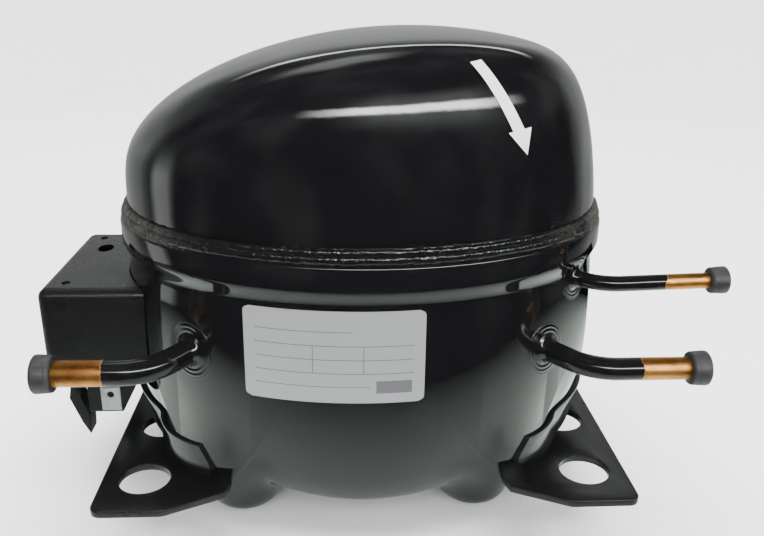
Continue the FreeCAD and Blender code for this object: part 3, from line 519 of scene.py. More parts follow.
def object_axes(tree):
    """The object coordinates as one socket for each axis."""
    where = add(tree, "ShaderNodeTexCoord")
    split = add(tree, "ShaderNodeSeparateXYZ")
    link(tree, where.outputs["Object"], split.inputs[0])
    return split.outputs


def noise(tree, vector, scale, **inputs):
    """A noise texture at a point, with its scale taken from a socket."""
    node = add(tree, "ShaderNodeTexNoise", inputs=inputs)
    link(tree, vector, node.inputs["Vector"])
    link(tree, scale, node.inputs["Scale"])
    return node.outputs["Fac"]


def bump(tree, distance, strength, height):
    """A bump node fed by a strength and a height socket."""
    node = add(tree, "ShaderNodeBump", inputs={"Distance": distance})
    link(tree, strength, node.inputs["Strength"])
    link(tree, height, node.inputs["Height"])
    return node


def shader_group(name, inputs, outputs):
    """A shader node group with float inputs and the outputs asked for."""
    tree = bpy.data.node_groups.new(name, "ShaderNodeTree")
    for label, value in inputs:
        socket = tree.interface.new_socket(label, in_out="INPUT", socket_type="NodeSocketFloat")
        socket.default_value = value
    for label, kind in outputs:
        tree.interface.new_socket(label, in_out="OUTPUT", socket_type=kind)
    return tree, tree.nodes.new("NodeGroupInput"), tree.nodes.new("NodeGroupOutput")


def flow_group():
    """Orange peel of baked enamel: a bumped normal and a blotch mask."""
    tree, source, sink = shader_group(
        "Enamel flow", [("Peel", 0.06), ("Peel scale", 260.0), ("Sag", 0.10), ("Sag scale", 26.0)],
        [("Normal", "NodeSocketVector"), ("Blotch", "NodeSocketFloat")])
    where = add(tree, "ShaderNodeTexCoord").outputs["Object"]
    fine = noise(tree, where, source.outputs["Peel scale"], Detail=2.0)
    broad = noise(tree, where, source.outputs["Sag scale"], Detail=3.0)
    low = bump(tree, 0.002, source.outputs["Sag"], broad)
    high = bump(tree, 0.0002, source.outputs["Peel"], fine)
    link(tree, low.outputs["Normal"], high.inputs["Normal"])
    link(tree, high.outputs["Normal"], sink.inputs["Normal"])
    link(tree, broad, sink.inputs["Blotch"])
    return tree


def grain_group():
    """Fine scratches and stains for metals: a stain mask and a bumped normal."""
    tree, source, sink = shader_group(
        "Metal grain", [("Scale", 900.0), ("Stretch", 0.06), ("Depth", 0.2), ("Stain scale", 70.0)],
        [("Stain", "NodeSocketFloat"), ("Grain", "NodeSocketFloat"), ("Normal", "NodeSocketVector")])
    where = add(tree, "ShaderNodeTexCoord").outputs["Object"]
    stretch = add(tree, "ShaderNodeCombineXYZ", inputs={"Y": 1.0, "Z": 1.0})
    link(tree, source.outputs["Stretch"], stretch.inputs["X"])
    drawn = add(tree, "ShaderNodeVectorMath", operation="MULTIPLY")
    link(tree, where, drawn.inputs[0])
    link(tree, stretch.outputs[0], drawn.inputs[1])
    fine = noise(tree, drawn.outputs[0], source.outputs["Scale"], Detail=3.0)
    stain = noise(tree, where, source.outputs["Stain scale"], Detail=5.0, Roughness=0.6)
    raised = bump(tree, 0.0001, source.outputs["Depth"], fine)
    link(tree, stain, sink.inputs["Stain"])
    link(tree, fine, sink.inputs["Grain"])
    link(tree, raised.outputs["Normal"], sink.inputs["Normal"])
    return tree


def rule_group():
    """A printed bar on the label: 1 inside a box of X and Z, 0 outside."""
    tree, source, sink = shader_group(
        "Printed bar",
        [("Centre X", 0.0), ("Centre Z", 0.0), ("Half width", 0.01), ("Half height", 0.0002)],
        [("Mask", "NodeSocketFloat")])
    axes = object_axes(tree)
    masks = []
    for axis, centre, half in (("X", "Centre X", "Half width"), ("Z", "Centre Z", "Half height")):
        off = calc(tree, "SUBTRACT", axes[axis], source.outputs[centre])
        off = calc(tree, "ABSOLUTE", off, 0.0)
        masks.append(calc(tree, "LESS_THAN", off, source.outputs[half]))
    link(tree, calc(tree, "MULTIPLY", *masks), sink.inputs["Mask"])
    return tree


def softbox_group():
    """A lit patch of the surroundings with faded edges, placed by azimuth and height in radians."""
    tree, source, sink = shader_group(
        "Softbox", [("Azimuth", 0.0), ("Height", 0.5), ("Half width", 0.5), ("Half height", 0.05),
                    ("Side fade", 0.2), ("Edge fade", 0.03), ("Lean", 0.0), ("Strength", 1.0)],
        [("Light", "NodeSocketFloat")])
    where = add(tree, "ShaderNodeTexCoord")
    way = add(tree, "ShaderNodeVectorMath", operation="NORMALIZE")
    link(tree, where.outputs["Object"], way.inputs[0])
    split = add(tree, "ShaderNodeSeparateXYZ")
    link(tree, way.outputs[0], split.inputs[0])
    turn = calc(tree, "ARCTAN2", split.outputs["Y"], split.outputs["X"])
    wrap = add(tree, "ShaderNodeMath", operation="WRAP", inputs={1: math.pi, 2: -math.pi})
    link(tree, calc(tree, "SUBTRACT", turn, source.outputs["Azimuth"]), wrap.inputs[0])
    across = wrap.outputs[0]
    rise = calc(tree, "SUBTRACT", calc(tree, "ARCSINE", split.outputs["Z"], 0.0), source.outputs["Height"])
    rise = calc(tree, "SUBTRACT", rise, calc(tree, "MULTIPLY", across, source.outputs["Lean"]))
    light, falloff = source.outputs["Strength"], 1.6
    for off, half, fade in ((across, "Half width", "Side fade"), (rise, "Half height", "Edge fade")):
        reach = calc(tree, "ADD", source.outputs[half], source.outputs[fade])
        left = calc(tree, "SUBTRACT", reach, calc(tree, "ABSOLUTE", off, 0.0))
        share = add(tree, "ShaderNodeMath", operation="DIVIDE", use_clamp=True)
        link(tree, left, share.inputs[0])
        link(tree, source.outputs[fade], share.inputs[1])
        light = calc(tree, "MULTIPLY", light, calc(tree, "POWER", share.outputs[0], falloff))
    link(tree, light, sink.inputs["Light"])
    return tree


def grouped(tree, maker, name, **inputs):
    """An instance of a shared shader group, made on first use."""
    shared = bpy.data.node_groups.get(name) or maker()
    node = add(tree, "ShaderNodeGroup", node_tree=shared)
    for key, value in inputs.items():
        node.inputs[key.replace("_", " ").capitalize()].default_value = value
    return node


def finishes():
    """The scene's colours."""
    return bpy.context.scene.compressor_finishes


def material(name, **values):
    """A new material with a Principled shader that has the given values, its tree and that shader."""
    made = bpy.data.materials.new(name)
    made.use_nodes = True
    tree = made.node_tree
    shader = tree.nodes["Principled BSDF"]
    for key, value in values.items():
        shader.inputs[key.replace("_", " ")].default_value = value
    return made, tree, shader


def feed(tree, shader, **sockets):
    """Links sockets to the shader's inputs of the same names."""
    for key, source in sockets.items():
        link(tree, source, shader.inputs[key.replace("_", " ")])


def mix_colour(tree, share, first, second):
    """Mixes two colours by a mask socket."""
    node = add(tree, "ShaderNodeMix", data_type="RGBA")
    link(tree, share, node.inputs[0])
    for index, value in ((6, first), (7, second)):
        if hasattr(value, "links"):
            link(tree, value, node.inputs[index])
        else:
            node.inputs[index].default_value = (*value, 1.0)
    return node.outputs[2]


def ramp(tree, value, low, high, start=0.0, end=1.0):
    """Maps a value between low and high to start and end, clamped."""
    node = add(tree, "ShaderNodeMapRange", clamp=True,
               inputs={"From Min": low, "From Max": high, "To Min": start, "To Max": end})
    link(tree, value, node.inputs["Value"])
    return node.outputs[0]


def once(maker):
    """Makes a material on its first use and hands the same one back later."""
    made = {}

    def get(*args):
        if args not in made:
            made[args] = maker(*args)
        return made[args]
    return get


@once
def paint_material():
    """Glossy baked enamel of the shell and of the collars."""
    made, tree, shader = material("black enamel", Base_Color=(*finishes().paint, 1), Coat_Weight=0.25,
                                  Coat_Roughness=0.02)
    flow = grouped(tree, flow_group, "Enamel flow")
    feed(tree, shader, Roughness=ramp(tree, flow.outputs["Blotch"], 0.3, 0.7, 0.05, 0.09),
         Normal=flow.outputs["Normal"], Coat_Normal=flow.outputs["Normal"])
    return made


@once
def satin_material():
    """The enamel of the foot plates, duller than the shell's and dusty in patches."""
    made, tree, shader = material("satin enamel")
    look = finishes()
    flow = grouped(tree, flow_group, "Enamel flow")
    grain = grouped(tree, grain_group, "Metal grain", stretch=1.0, stain_scale=60.0)
    worn = ramp(tree, grain.outputs["Stain"], 0.62, 0.80, 0.0, 0.35)
    feed(tree, shader, Base_Color=mix_colour(tree, worn, look.paint, look.dust),
         Roughness=ramp(tree, grain.outputs["Stain"], 0.3, 0.7, 0.26, 0.38), Normal=flow.outputs["Normal"])
    return made


@once
def bead_material():
    """Enamel over the weld bead, dusty towards both ends of the shell."""
    made, tree, shader = material("weld bead enamel")
    look = finishes()
    flow = grouped(tree, flow_group, "Enamel flow", peel=0.9, peel_scale=1100.0, sag=0.5, sag_scale=140.0)
    grain = grouped(tree, grain_group, "Metal grain", stretch=1.0, stain_scale=60.0)
    ends = ramp(tree, calc(tree, "ABSOLUTE", object_axes(tree)["X"], 0.0), 0.062, 0.098, 0.0, 0.6)
    dusty = calc(tree, "MULTIPLY", ends, ramp(tree, grain.outputs["Stain"], 0.35, 0.62))
    feed(tree, shader, Base_Color=mix_colour(tree, dusty, look.paint, look.dust),
         Roughness=ramp(tree, dusty, 0.0, 0.5, 0.12, 0.62), Normal=flow.outputs["Normal"])
    return made


@once
def tube_material(name, edge, heading):
    """Copper with the shell's enamel over the length near the shell, up to the X of an edge."""
    made, tree, shader = material(name)
    look = finishes()
    flow = grouped(tree, flow_group, "Enamel flow")
    grain = grouped(tree, grain_group, "Metal grain", scale=1400.0, stretch=0.08, depth=0.12,
                    stain_scale=110.0)
    wander = calc(tree, "MULTIPLY", calc(tree, "SUBTRACT", grain.outputs["Stain"], 0.5), 0.004)
    place = calc(tree, "MULTIPLY", calc(tree, "SUBTRACT", object_axes(tree)["X"], edge), heading)
    bare = ramp(tree, calc(tree, "ADD", place, wander), 0.0, 0.0003)
    copper = mix_colour(tree, ramp(tree, grain.outputs["Stain"], 0.4, 0.7), look.copper, look.copper_dark)
    feed(tree, shader, Base_Color=mix_colour(tree, bare, look.paint, copper), Metallic=bare)
    worn = ramp(tree, grain.outputs["Grain"], 0.3, 0.7, 0.30, 0.42)
    feed(tree, shader, Roughness=calc(tree, "ADD", 0.1, calc(tree, "MULTIPLY", bare, worn)),
         Normal=flow.outputs["Normal"])
    return made


@once
def rubber_material():
    """Matt rubber of the plugs, with dust in patches."""
    made, tree, shader = material("plug rubber")
    look = finishes()
    grain = grouped(tree, grain_group, "Metal grain", scale=1600.0, stretch=1.0, depth=0.5, stain_scale=180.0)
    dusty = ramp(tree, grain.outputs["Stain"], 0.45, 0.75, 0.0, 0.35)
    feed(tree, shader, Base_Color=mix_colour(tree, dusty, look.rubber, look.dust),
         Roughness=ramp(tree, grain.outputs["Grain"], 0.3, 0.7, 0.42, 0.6), Normal=grain.outputs["Normal"])
    return made


@once
def plastic_material():
    """Black moulding of the cover."""
    made, tree, shader = material("black moulding", Base_Color=(*finishes().plastic, 1),
                                  Specular_IOR_Level=0.4)
    grain = grouped(tree, grain_group, "Metal grain", scale=2400.0, stretch=1.0, depth=0.35, stain_scale=45.0)
    feed(tree, shader, Roughness=ramp(tree, grain.outputs["Stain"], 0.35, 0.7, 0.22, 0.34),
         Normal=grain.outputs["Normal"])
    return made


@once
def label_material():
    """Silver foil with blank printed rules, two column lines and one filled patch."""
    made, tree, shader = material("rating label print")
    look = finishes()
    size = bpy.context.scene.compressor_labels
    x, z, w, h = size.centre_x, size.centre_z, size.width, size.height
    bars, line, start = [], 0.00016, -0.44
    for step, end in enumerate((0.10, 0.44, 0.44, 0.44, 0.20)):
        bars.append((x + w * (start + end) / 2, z + h * (0.28 - 0.15 * step), w * (end - start) / 2, line))
    for share in (-0.12, 0.16):
        bars.append((x + w * share, z - h * 0.02, line, h * 0.15))
    bars.append((x + w * 0.33, z - h * 0.32, w * 0.10, h * 0.07))
    total = None
    for centre_x, centre_z, half_width, half_height in bars:
        bar = grouped(tree, rule_group, "Printed bar")
        for key, value in (("Centre X", centre_x), ("Centre Z", centre_z), ("Half width", half_width),
                           ("Half height", half_height)):
            bar.inputs[key].default_value = value
        total = bar.outputs[0] if total is None else calc(tree, "MAXIMUM", total, bar.outputs[0])
    grain = grouped(tree, grain_group, "Metal grain", scale=2600.0, stretch=0.3, depth=0.05, stain_scale=50.0)
    feed(tree, shader, Base_Color=mix_colour(tree, total, look.silver, look.rule),
         Metallic=calc(tree, "SUBTRACT", 0.55, calc(tree, "MULTIPLY", total, 0.5)),
         Roughness=ramp(tree, grain.outputs["Stain"], 0.3, 0.7, 0.30, 0.42), Normal=grain.outputs["Normal"])
    return made


@once
def plain_material(name, base, metallic, rough_low, rough_high, scale, stretch, depth):
    """A grained finish of one colour, with stains in its roughness and tone."""
    made, tree, shader = material(name, Metallic=metallic)
    grain = grouped(tree, grain_group, "Metal grain", scale=scale, stretch=stretch, depth=depth)
    darker = tuple(c * 0.72 for c in base)
    stained = ramp(tree, grain.outputs["Stain"], 0.4, 0.75)
    feed(tree, shader, Base_Color=mix_colour(tree, stained, base, darker),
         Roughness=ramp(tree, grain.outputs["Stain"], 0.3, 0.7, rough_low, rough_high),
         Normal=grain.outputs["Normal"])
    return made


# ---------------------------------------------------------------- pieces

class PieceOperator:
    """What the piece operators share."""

    bl_options = {"REGISTER", "UNDO"}

    def execute(self, context):
        self.build(context.scene)
        return {"FINISHED"}


class COMPRESSOR_OT_upper_shell(PieceOperator, Operator):
    """Builds the tall leaning dome of the upper shell"""

    bl_idname = "compressor.upper_shell"
    bl_label = "Upper shell"

    def build(self, scene):
        s = scene.compressor_shell
        n = s.around
        roof = 65      # degrees up the shoulder at which the rings begin to shrink towards the crown
        rise = (s.dome_base - s.upper_low) / 6
        rings = [dome_ring(s, 0, 1, z=s.upper_low + rise * i, around=n) for i in range(6)]
        rings += [dome_ring(s, turn, 1, around=n) for turn in np.linspace(0, roof, 40)]
        rings += [dome_ring(s, roof, shrink, around=n) for shrink in np.linspace(0.97, 0, 26)]
        rings += [dome_ring(s, roof, shrink, s.sheet, around=n) for shrink in (0, 0.3, 0.6, 0.85)]
        rings += [dome_ring(s, turn, 1, s.sheet, around=n) for turn in (roof, 52, 38, 24, 10, 0)]
        rings += [dome_ring(s, 0, 1, s.sheet, z=s.upper_low, around=n)]
        item = solid("upper_shell_skin", rings, loop=True)
        finish_piece(item, "housing", [paint_material()], ["upper_shell"])


class COMPRESSOR_OT_lower_shell(PieceOperator, Operator):
    """Builds the lower bowl with its spring seats, waist and lip"""

    bl_idname = "compressor.lower_shell"
    bl_label = "Lower shell"

    def build(self, scene):
        s = scene.compressor_shell
        n = s.around
        # Depths from the floor up: even in plan over the flat floor, then even in height up the wall.
        flat = [max(1 - e ** s.end_root, 0) ** (1 / s.end_power) for e in np.linspace(0, 0.962, 100)]
        wall = list(np.linspace(flat[-1], 0, 56))[1:]
        rings = bowl_rings(s, flat + wall, 0.0, n)
        heights = list(np.linspace(s.bowl_start, s.neck_height, 9))[1:]
        heights += list(np.linspace(s.neck_height, s.lip_low, 12))[1:]
        heights += [s.lip_low + 0.003, s.lip_top - s.lip_round]
        rings += [oval(*lower_sizes(s, z), z, n) for z in heights]
        wide = s.lip_half * s.ratio
        for turn in map(math.radians, (30, 60, 90)):
            off, drop = s.lip_round * (1 - math.cos(turn)), s.lip_round * (1 - math.sin(turn))
            rings.append(oval(s.lip_half - off, wide - off, s.lip_top - drop, n))
        # The upper shell stands in a socket inside the lip.
        socket, ledge = s.upper_half + 0.00015, s.upper_low - 0.0003
        rings.append(oval(socket, socket * s.ratio, s.lip_top, n))
        rings.append(oval(socket, socket * s.ratio, ledge, n))
        for z in (ledge, s.neck_height, s.bowl_start):
            half, wide = lower_sizes(s, min(z, s.neck_height))
            rings.append(oval(half - s.sheet, wide - s.sheet, z, n))
        rings += bowl_rings(s, list(np.linspace(0.1, 0.95, 14)) + [0.985, 1.0], s.sheet, n)
        item = solid("lower_shell_skin", rings, loop=True)
        finish_piece(item, "housing", [paint_material()], ["lower_shell"])


def bead_nodes():
    """Geometry nodes that lay overlapping ripples along the bead's line and join them to its core."""
    tree = bpy.data.node_groups.new("Bead ripples", "GeometryNodeTree")
    face = tree.interface
    face.new_socket("Geometry", in_out="INPUT", socket_type="NodeSocketGeometry")
    face.new_socket("Count", in_out="INPUT", socket_type="NodeSocketInt")
    for label in ("Length", "Depth", "Height", "Variation"):
        face.new_socket(label, in_out="INPUT", socket_type="NodeSocketFloat")
    face.new_socket("Seed", in_out="INPUT", socket_type="NodeSocketInt")
    face.new_socket("Core", in_out="INPUT", socket_type="NodeSocketObject")
    face.new_socket("Material", in_out="INPUT", socket_type="NodeSocketMaterial")
    face.new_socket("Geometry", in_out="OUTPUT", socket_type="NodeSocketGeometry")
    source, sink = tree.nodes.new("NodeGroupInput"), tree.nodes.new("NodeGroupOutput")
    curve = add(tree, "GeometryNodeMeshToCurve")
    points = add(tree, "GeometryNodeResampleCurve", mode="COUNT")
    link(tree, source.outputs["Geometry"], curve.inputs["Mesh"])
    link(tree, curve.outputs["Curve"], points.inputs["Curve"])
    link(tree, source.outputs["Count"], points.inputs["Count"])
    drop = add(tree, "GeometryNodeMeshIcoSphere", inputs={"Radius": 1.0, "Subdivisions": 2})
    smooth = add(tree, "GeometryNodeSetShadeSmooth")
    link(tree, drop.outputs["Mesh"], smooth.inputs["Geometry"])
    size = add(tree, "ShaderNodeCombineXYZ")
    for axis, label in (("X", "Length"), ("Y", "Depth"), ("Z", "Height")):
        link(tree, source.outputs[label], size.inputs[axis])
    spread = add(tree, "FunctionNodeRandomValue", data_type="FLOAT")
    link(tree, calc(tree, "SUBTRACT", 1.0, source.outputs["Variation"]), spread.inputs[2])
    link(tree, calc(tree, "ADD", 1.0, source.outputs["Variation"]), spread.inputs[3])
    link(tree, source.outputs["Seed"], spread.inputs["Seed"])
    scale = add(tree, "ShaderNodeVectorMath", operation="SCALE")
    link(tree, size.outputs[0], scale.inputs[0])
    link(tree, spread.outputs[1], scale.inputs["Scale"])
    tangent = add(tree, "GeometryNodeInputTangent")
    turn = add(tree, "FunctionNodeAlignEulerToVector", axis="X", pivot_axis="Z")
    link(tree, tangent.outputs[0], turn.inputs["Vector"])
    laid = add(tree, "GeometryNodeInstanceOnPoints")
    link(tree, points.outputs["Curve"], laid.inputs["Points"])
    link(tree, smooth.outputs["Geometry"], laid.inputs["Instance"])
    link(tree, turn.outputs[0], laid.inputs["Rotation"])
    link(tree, scale.outputs[0], laid.inputs["Scale"])
    real = add(tree, "GeometryNodeRealizeInstances")
    link(tree, laid.outputs["Instances"], real.inputs["Geometry"])
    core = add(tree, "GeometryNodeObjectInfo")
    link(tree, source.outputs["Core"], core.inputs["Object"])
    both = add(tree, "GeometryNodeJoinGeometry")
    link(tree, real.outputs["Geometry"], both.inputs[0])
    link(tree, core.outputs["Geometry"], both.inputs[0])
    coat = add(tree, "GeometryNodeSetMaterial")
    link(tree, both.outputs[0], coat.inputs["Geometry"])
    link(tree, source.outputs["Material"], coat.inputs["Material"])
    link(tree, coat.outputs["Geometry"], sink.inputs["Geometry"])
    return tree


class COMPRESSOR_OT_weld_bead(PieceOperator, Operator):
    """Builds the rippled weld bead between the shell halves"""

    bl_idname = "compressor.weld_bead"
    bl_label = "Weld bead"

    def build(self, scene):
        s, b = scene.compressor_shell, scene.compressor_bead
        n = s.around
        edge, lip, inner = s.lip_half, s.lip_top, s.upper_half + 0.00002
        low, top = lip - 0.0002, lip + b.height - 0.0004
        section = [(inner, low), (edge - 0.0006, low), (edge - 0.0007, lip + 0.0010),
                   (edge - 0.0013, lip + 0.0028), (edge - 0.0023, lip + 0.0046), (inner + 0.0004, top),
                   (inner, top)]
        theta = np.arange(n) * (2 * math.pi / n)
        rings = []
        for half, z in section:
            points = oval(half, half * s.ratio, z, n)
            if half > inner + 0.001:         # the outer face wavers, the inner one follows the dome
                sway = 0.00010 * np.sin(theta * 37) + 0.00008 * np.sin(theta * 61 + 1.3)
                points[:, 0] += sway * np.cos(theta)
                points[:, 1] += sway * np.sin(theta)
            rings.append(points)
        core = solid("bead_core", rings, loop=True)
        points, edges = [], []
        for inset, share in ((0.0018, 0.30), (0.0026, 0.66)):       # two rows of ripples, one above the other
            half = edge - inset
            points += [tuple(p) for p in oval(half, half * s.ratio, lip + b.height * share, n)]
            edges += [(len(points) - n + i, len(points) - n + (i + 1) % n) for i in range(n)]
        mesh = bpy.data.meshes.new("bead_line")
        mesh.from_pydata(points, edges, [])
        guide = place("bead_line", mesh)
        ripple = guide.modifiers.new("ripples", "NODES")
        ripple.node_group = bead_nodes()
        names = {item.name: item.identifier for item in ripple.node_group.interface.items_tree
                 if item.in_out == "INPUT"}
        for label, value in (("Count", b.ripples), ("Length", b.ripple_length), ("Depth", b.ripple_out),
                             ("Height", b.ripple_up), ("Variation", 0.12), ("Seed", b.seed), ("Core", core),
                             ("Material", bead_material())):
            ripple[names[label]] = value
        made = evaluated_mesh(guide)
        for old in (guide, core):
            bpy.data.objects.remove(old)
        item = place("weld_bead_ripples", made)
        finish_piece(item, "housing", [bead_material()], ["weld_bead"])


class COMPRESSOR_OT_tubes(PieceOperator, Operator):
    """Builds the three bent stubs with their brazed collars"""

    bl_idname = "compressor.tubes"
    bl_label = "Stubs and collars"

    def collar(self, s, t, name, radius, wall, out):
        """The brazed fillet and the rings in the enamel around it, laid on the curved wall."""
        side, up = Vector((-out.y, out.x, 0)), Vector((0, 0, 1))
        film, wave, fillet, fillet_reach, root = 0.00012, 0.00013, 0.0030, 0.36, -0.003
        steps = np.linspace(1, 0, 34)
        rises = [film + wave * (1 + math.cos(share * 25)) * (1 - share) ** 0.5
                 + fillet * max(0.0, 1 - share / fillet_reach) ** 2 for share in steps]
        rises[0] = -0.0002                   # the outer edge dips under the wall
        section = [(1.0, root), *zip(steps, rises), (0.0, root)]
        rings = []
        for share, rise in section:
            points = []
            for turn in (2 * math.pi * i / 72 for i in range(72)):
                reach = radius + t.puddle * share * (1 + 0.10 * math.sin(turn * 2 + radius * 900) * share)
                base = wall + side * (reach * math.cos(turn)) + up * (reach * math.sin(turn))
                half, wide = lower_sizes(s, base.z)
                a = (out.x / half) ** 2 + (out.y / wide) ** 2
                b = 2 * (base.x * out.x / half ** 2 + base.y * out.y / wide ** 2)
                c = (base.x / half) ** 2 + (base.y / wide) ** 2 - 1
                onto = (-b + math.sqrt(b * b - 4 * a * c)) / (2 * a)
                points.append(tuple(base + out * (onto + rise)))
            rings.append(points)
        return solid(name + "_collar", rings, loop=True, sharp=70)

    def build(self, scene):
        s, t = scene.compressor_shell, scene.compressor_tubes
        # Where the enamel ends and the way the stub runs, along X.
        edges = {"process": (-0.095, -1.0), "suction": (0.102, 1.0), "discharge": (0.116, 1.0)}
        collars, around = [], 56
        for name, (radius, wall, out, heading, corners) in tube_routes(s, t).items():
            run = frames(bent(corners, t.bend))
            mouth, side, up = run[-1]
            bore = radius - t.wall
            rings = [ring(frame, radius, around) for frame in run[:-1]]
            # The mouth's rounded rim.
            for back, trim in ((0.0003, 0.0), (0.0001, 0.0001), (0.0, 0.00025), (0.0, t.wall - 0.00015)):
                rings.append(ring((mouth - heading * back, side, up), radius - trim, around))
            rings.append(ring((mouth - heading * 0.0002, side, up), bore, around))
            rings += [ring(frame, bore, around) for frame in reversed(run[:-1])]
            item = solid(name + "_stub", rings, loop=True, sharp=50)
            finish_piece(item, "housing", [tube_material(name + " stub finish", *edges[name])],
                         [name + "_tube"])
            collars.append(self.collar(s, t, name, radius, wall, out))
        item = join("stub_collars", collars)
        finish_piece(item, "housing", [paint_material()], ["tube_collars"])


class COMPRESSOR_OT_plugs(PieceOperator, Operator):
    """Builds the three rubber plugs in the stubs' mouths"""

    bl_idname = "compressor.plugs"
    bl_label = "Plugs"

    def build(self, scene):
        s, t = scene.compressor_shell, scene.compressor_tubes
        for name, (radius, _, _, heading, corners) in tube_routes(s, t).items():
            lip, head, bore = radius + t.lip, t.head, radius - t.wall - 0.0001
            stem = [(0.0, -t.stem), (bore - 0.0006, -t.stem), (bore, -t.stem + 0.0006), (bore, 0.0)]
            flange = [(lip - 0.0011, 0.0), (lip - 0.0006, 0.0002), (lip - 0.00035, 0.0008),
                      (lip - 0.0003, 0.0016), (lip - 0.0004, 0.0018), (lip - 0.0003, 0.0020)]
            crown = [(lip - 0.00005, head - 0.0012), (lip - 0.0002, head - 0.0005),
                     (lip - 0.0007, head - 0.0001), (lip - 0.0012, head)]
            dent = [(radius * 0.42, head - 0.0001), (radius * 0.34, head - 0.0005), (0.0, head - 0.0006)]
            profile = stem + flange + crown + dent
            item = lathe(name + "_plug_moulding", corners[-1], heading, profile, loop=False, sharp=70)
            finish_piece(item, name + "_plug_body", [rubber_material()], [name + "_plug"])


def sticker(name, rows, lift):
    """A thin closed sheet from rows of outer points, with a matching point under each of them."""
    rows = np.asarray(rows, float)
    total, across = rows.shape[:2]
    points = np.concatenate([rows.reshape(-1, 3), (rows + lift).reshape(-1, 3)])
    faces, base = [], total * across
    for i in range(total - 1):
        for j in range(across - 1):
            a, b = i * across + j, (i + 1) * across + j
            faces.append((a, a + 1, b + 1, b))
            faces.append((base + a, base + b, base + b + 1, base + a + 1))
    edge = list(range(across)) + [i * across + across - 1 for i in range(1, total)]
    edge += [(total - 1) * across + j for j in range(across - 2, -1, -1)]
    edge += [i * across for i in range(total - 2, 0, -1)]
    for a, b in zip(edge, edge[1:] + edge[:1]):
        faces.append((a, b, base + b, base + a))
    return make_mesh(name, points, faces, merge=1e-7)


class COMPRESSOR_OT_labels(PieceOperator, Operator):
    """Builds the blank rating label and the plain arrow sticker"""

    bl_idname = "compressor.labels"
    bl_label = "Stickers"

    def rating(self, s, size):
        """The silver rectangle with rounded corners, laid round the lower shell."""
        rows, tall, across = [], size.height / 2, 61
        for up in np.linspace(-1, 1, 41):
            z = size.centre_z + up * size.height / 2
            over = max(abs(up) * tall - (tall - size.corner), 0)
            reach = size.width / 2 - size.corner + math.sqrt(max(size.corner ** 2 - over ** 2, 0))
            half, wide = lower_sizes(s, z)
            half, wide = half + size.sheet, wide + size.sheet
            x = size.centre_x + np.linspace(-1, 1, across) * reach
            rows.append(np.stack([x, -wide * np.sqrt(1 - (x / half) ** 2), np.full(across, z)], 1))
        item = sticker("rating_label_sheet", rows, np.array([0, size.sheet + SKIN, 0]))
        finish_piece(item, "housing", [label_material()], ["rating_label"])

    def strip(self, s, size, name, sides):
        """A sheet on the dome between two curved sides, each given by three points as X and Z."""
        share, across = np.linspace(0, 1, 25)[:, None], 13
        left, right = (np.array(p) * (1 - share) ** 2 + np.array(q) * 2 * share * (1 - share)
                       + np.array(r) * share ** 2 for p, q, r in sides)
        share, rows = np.linspace(0, 1, across)[:, None], []
        for p, q in zip(left, right):
            flat = p * (1 - share) + q * share
            low, high = np.full(across, -s.upper_half * s.ratio * 0.9999), np.zeros(across)
            for _ in range(40):              # halving finds the dome's surface at that X and Z
                mid = (low + high) / 2
                under = dome_height_at(s, flat[:, 0], mid) < flat[:, 1]
                low, high = np.where(under, mid, low), np.where(under, high, mid)
            rows.append(np.stack([flat[:, 0], mid - size.sheet, flat[:, 1]], 1))
        return sticker(name, rows, np.array([0, size.sheet + SKIN, 0]))

    def build(self, scene):
        s, size = scene.compressor_shell, scene.compressor_labels
        self.rating(s, size)
        shaft = ([(0.0346, 0.1566), (0.0419, 0.1492), (0.0503, 0.13355)],
                 [(0.0387, 0.1573), (0.0468, 0.1488), (0.0547, 0.1341)])
        head = ([(0.0485, 0.1333), (0.05235, 0.1292), (0.0562, 0.1251)],
                [(0.0575, 0.1345), (0.05685, 0.1298), (0.0562, 0.1251)])
        item = join("arrow_sheet", [self.strip(s, size, "arrow", sides) for sides in (shaft, head)])
        white = plain_material("white sticker", tuple(finishes().white), 0.0, 0.34, 0.42, 2000.0, 1.0, 0.05)
        finish_piece(item, "housing", [white], ["arrow_label"])


def round_edges(item, width):
    """Rounds an object's sharp edges and keeps its flat faces flat to the eye."""
    edge = item.modifiers.new("edge", "BEVEL")
    edge.width, edge.segments = width, 2
    edge.limit_method, edge.angle_limit = "ANGLE", math.radians(SHARP)
    item.modifiers.new("normals", "WEIGHTED_NORMAL").keep_sharp = True


def dress(names, made, width=0.0):
    """Gives CAD nodes a material, and rounded edges where a width is set."""
    for name in names:
        item = NODES[name]
        item.data.materials.clear()
        item.data.materials.append(made)
        item.data.shade_smooth()
        item.modifiers.new("weld", "WELD").merge_threshold = MERGE
        if width:
            round_edges(item, width)


def bend_corner(first, corner, last, radius, steps=5):
    """Points of a rounded corner in the plan."""
    path = bent([(*first, 0), (*corner, 0), (*last, 0)], radius, steps)[1:-1]
    return [(p.x, p.y) for p in path]


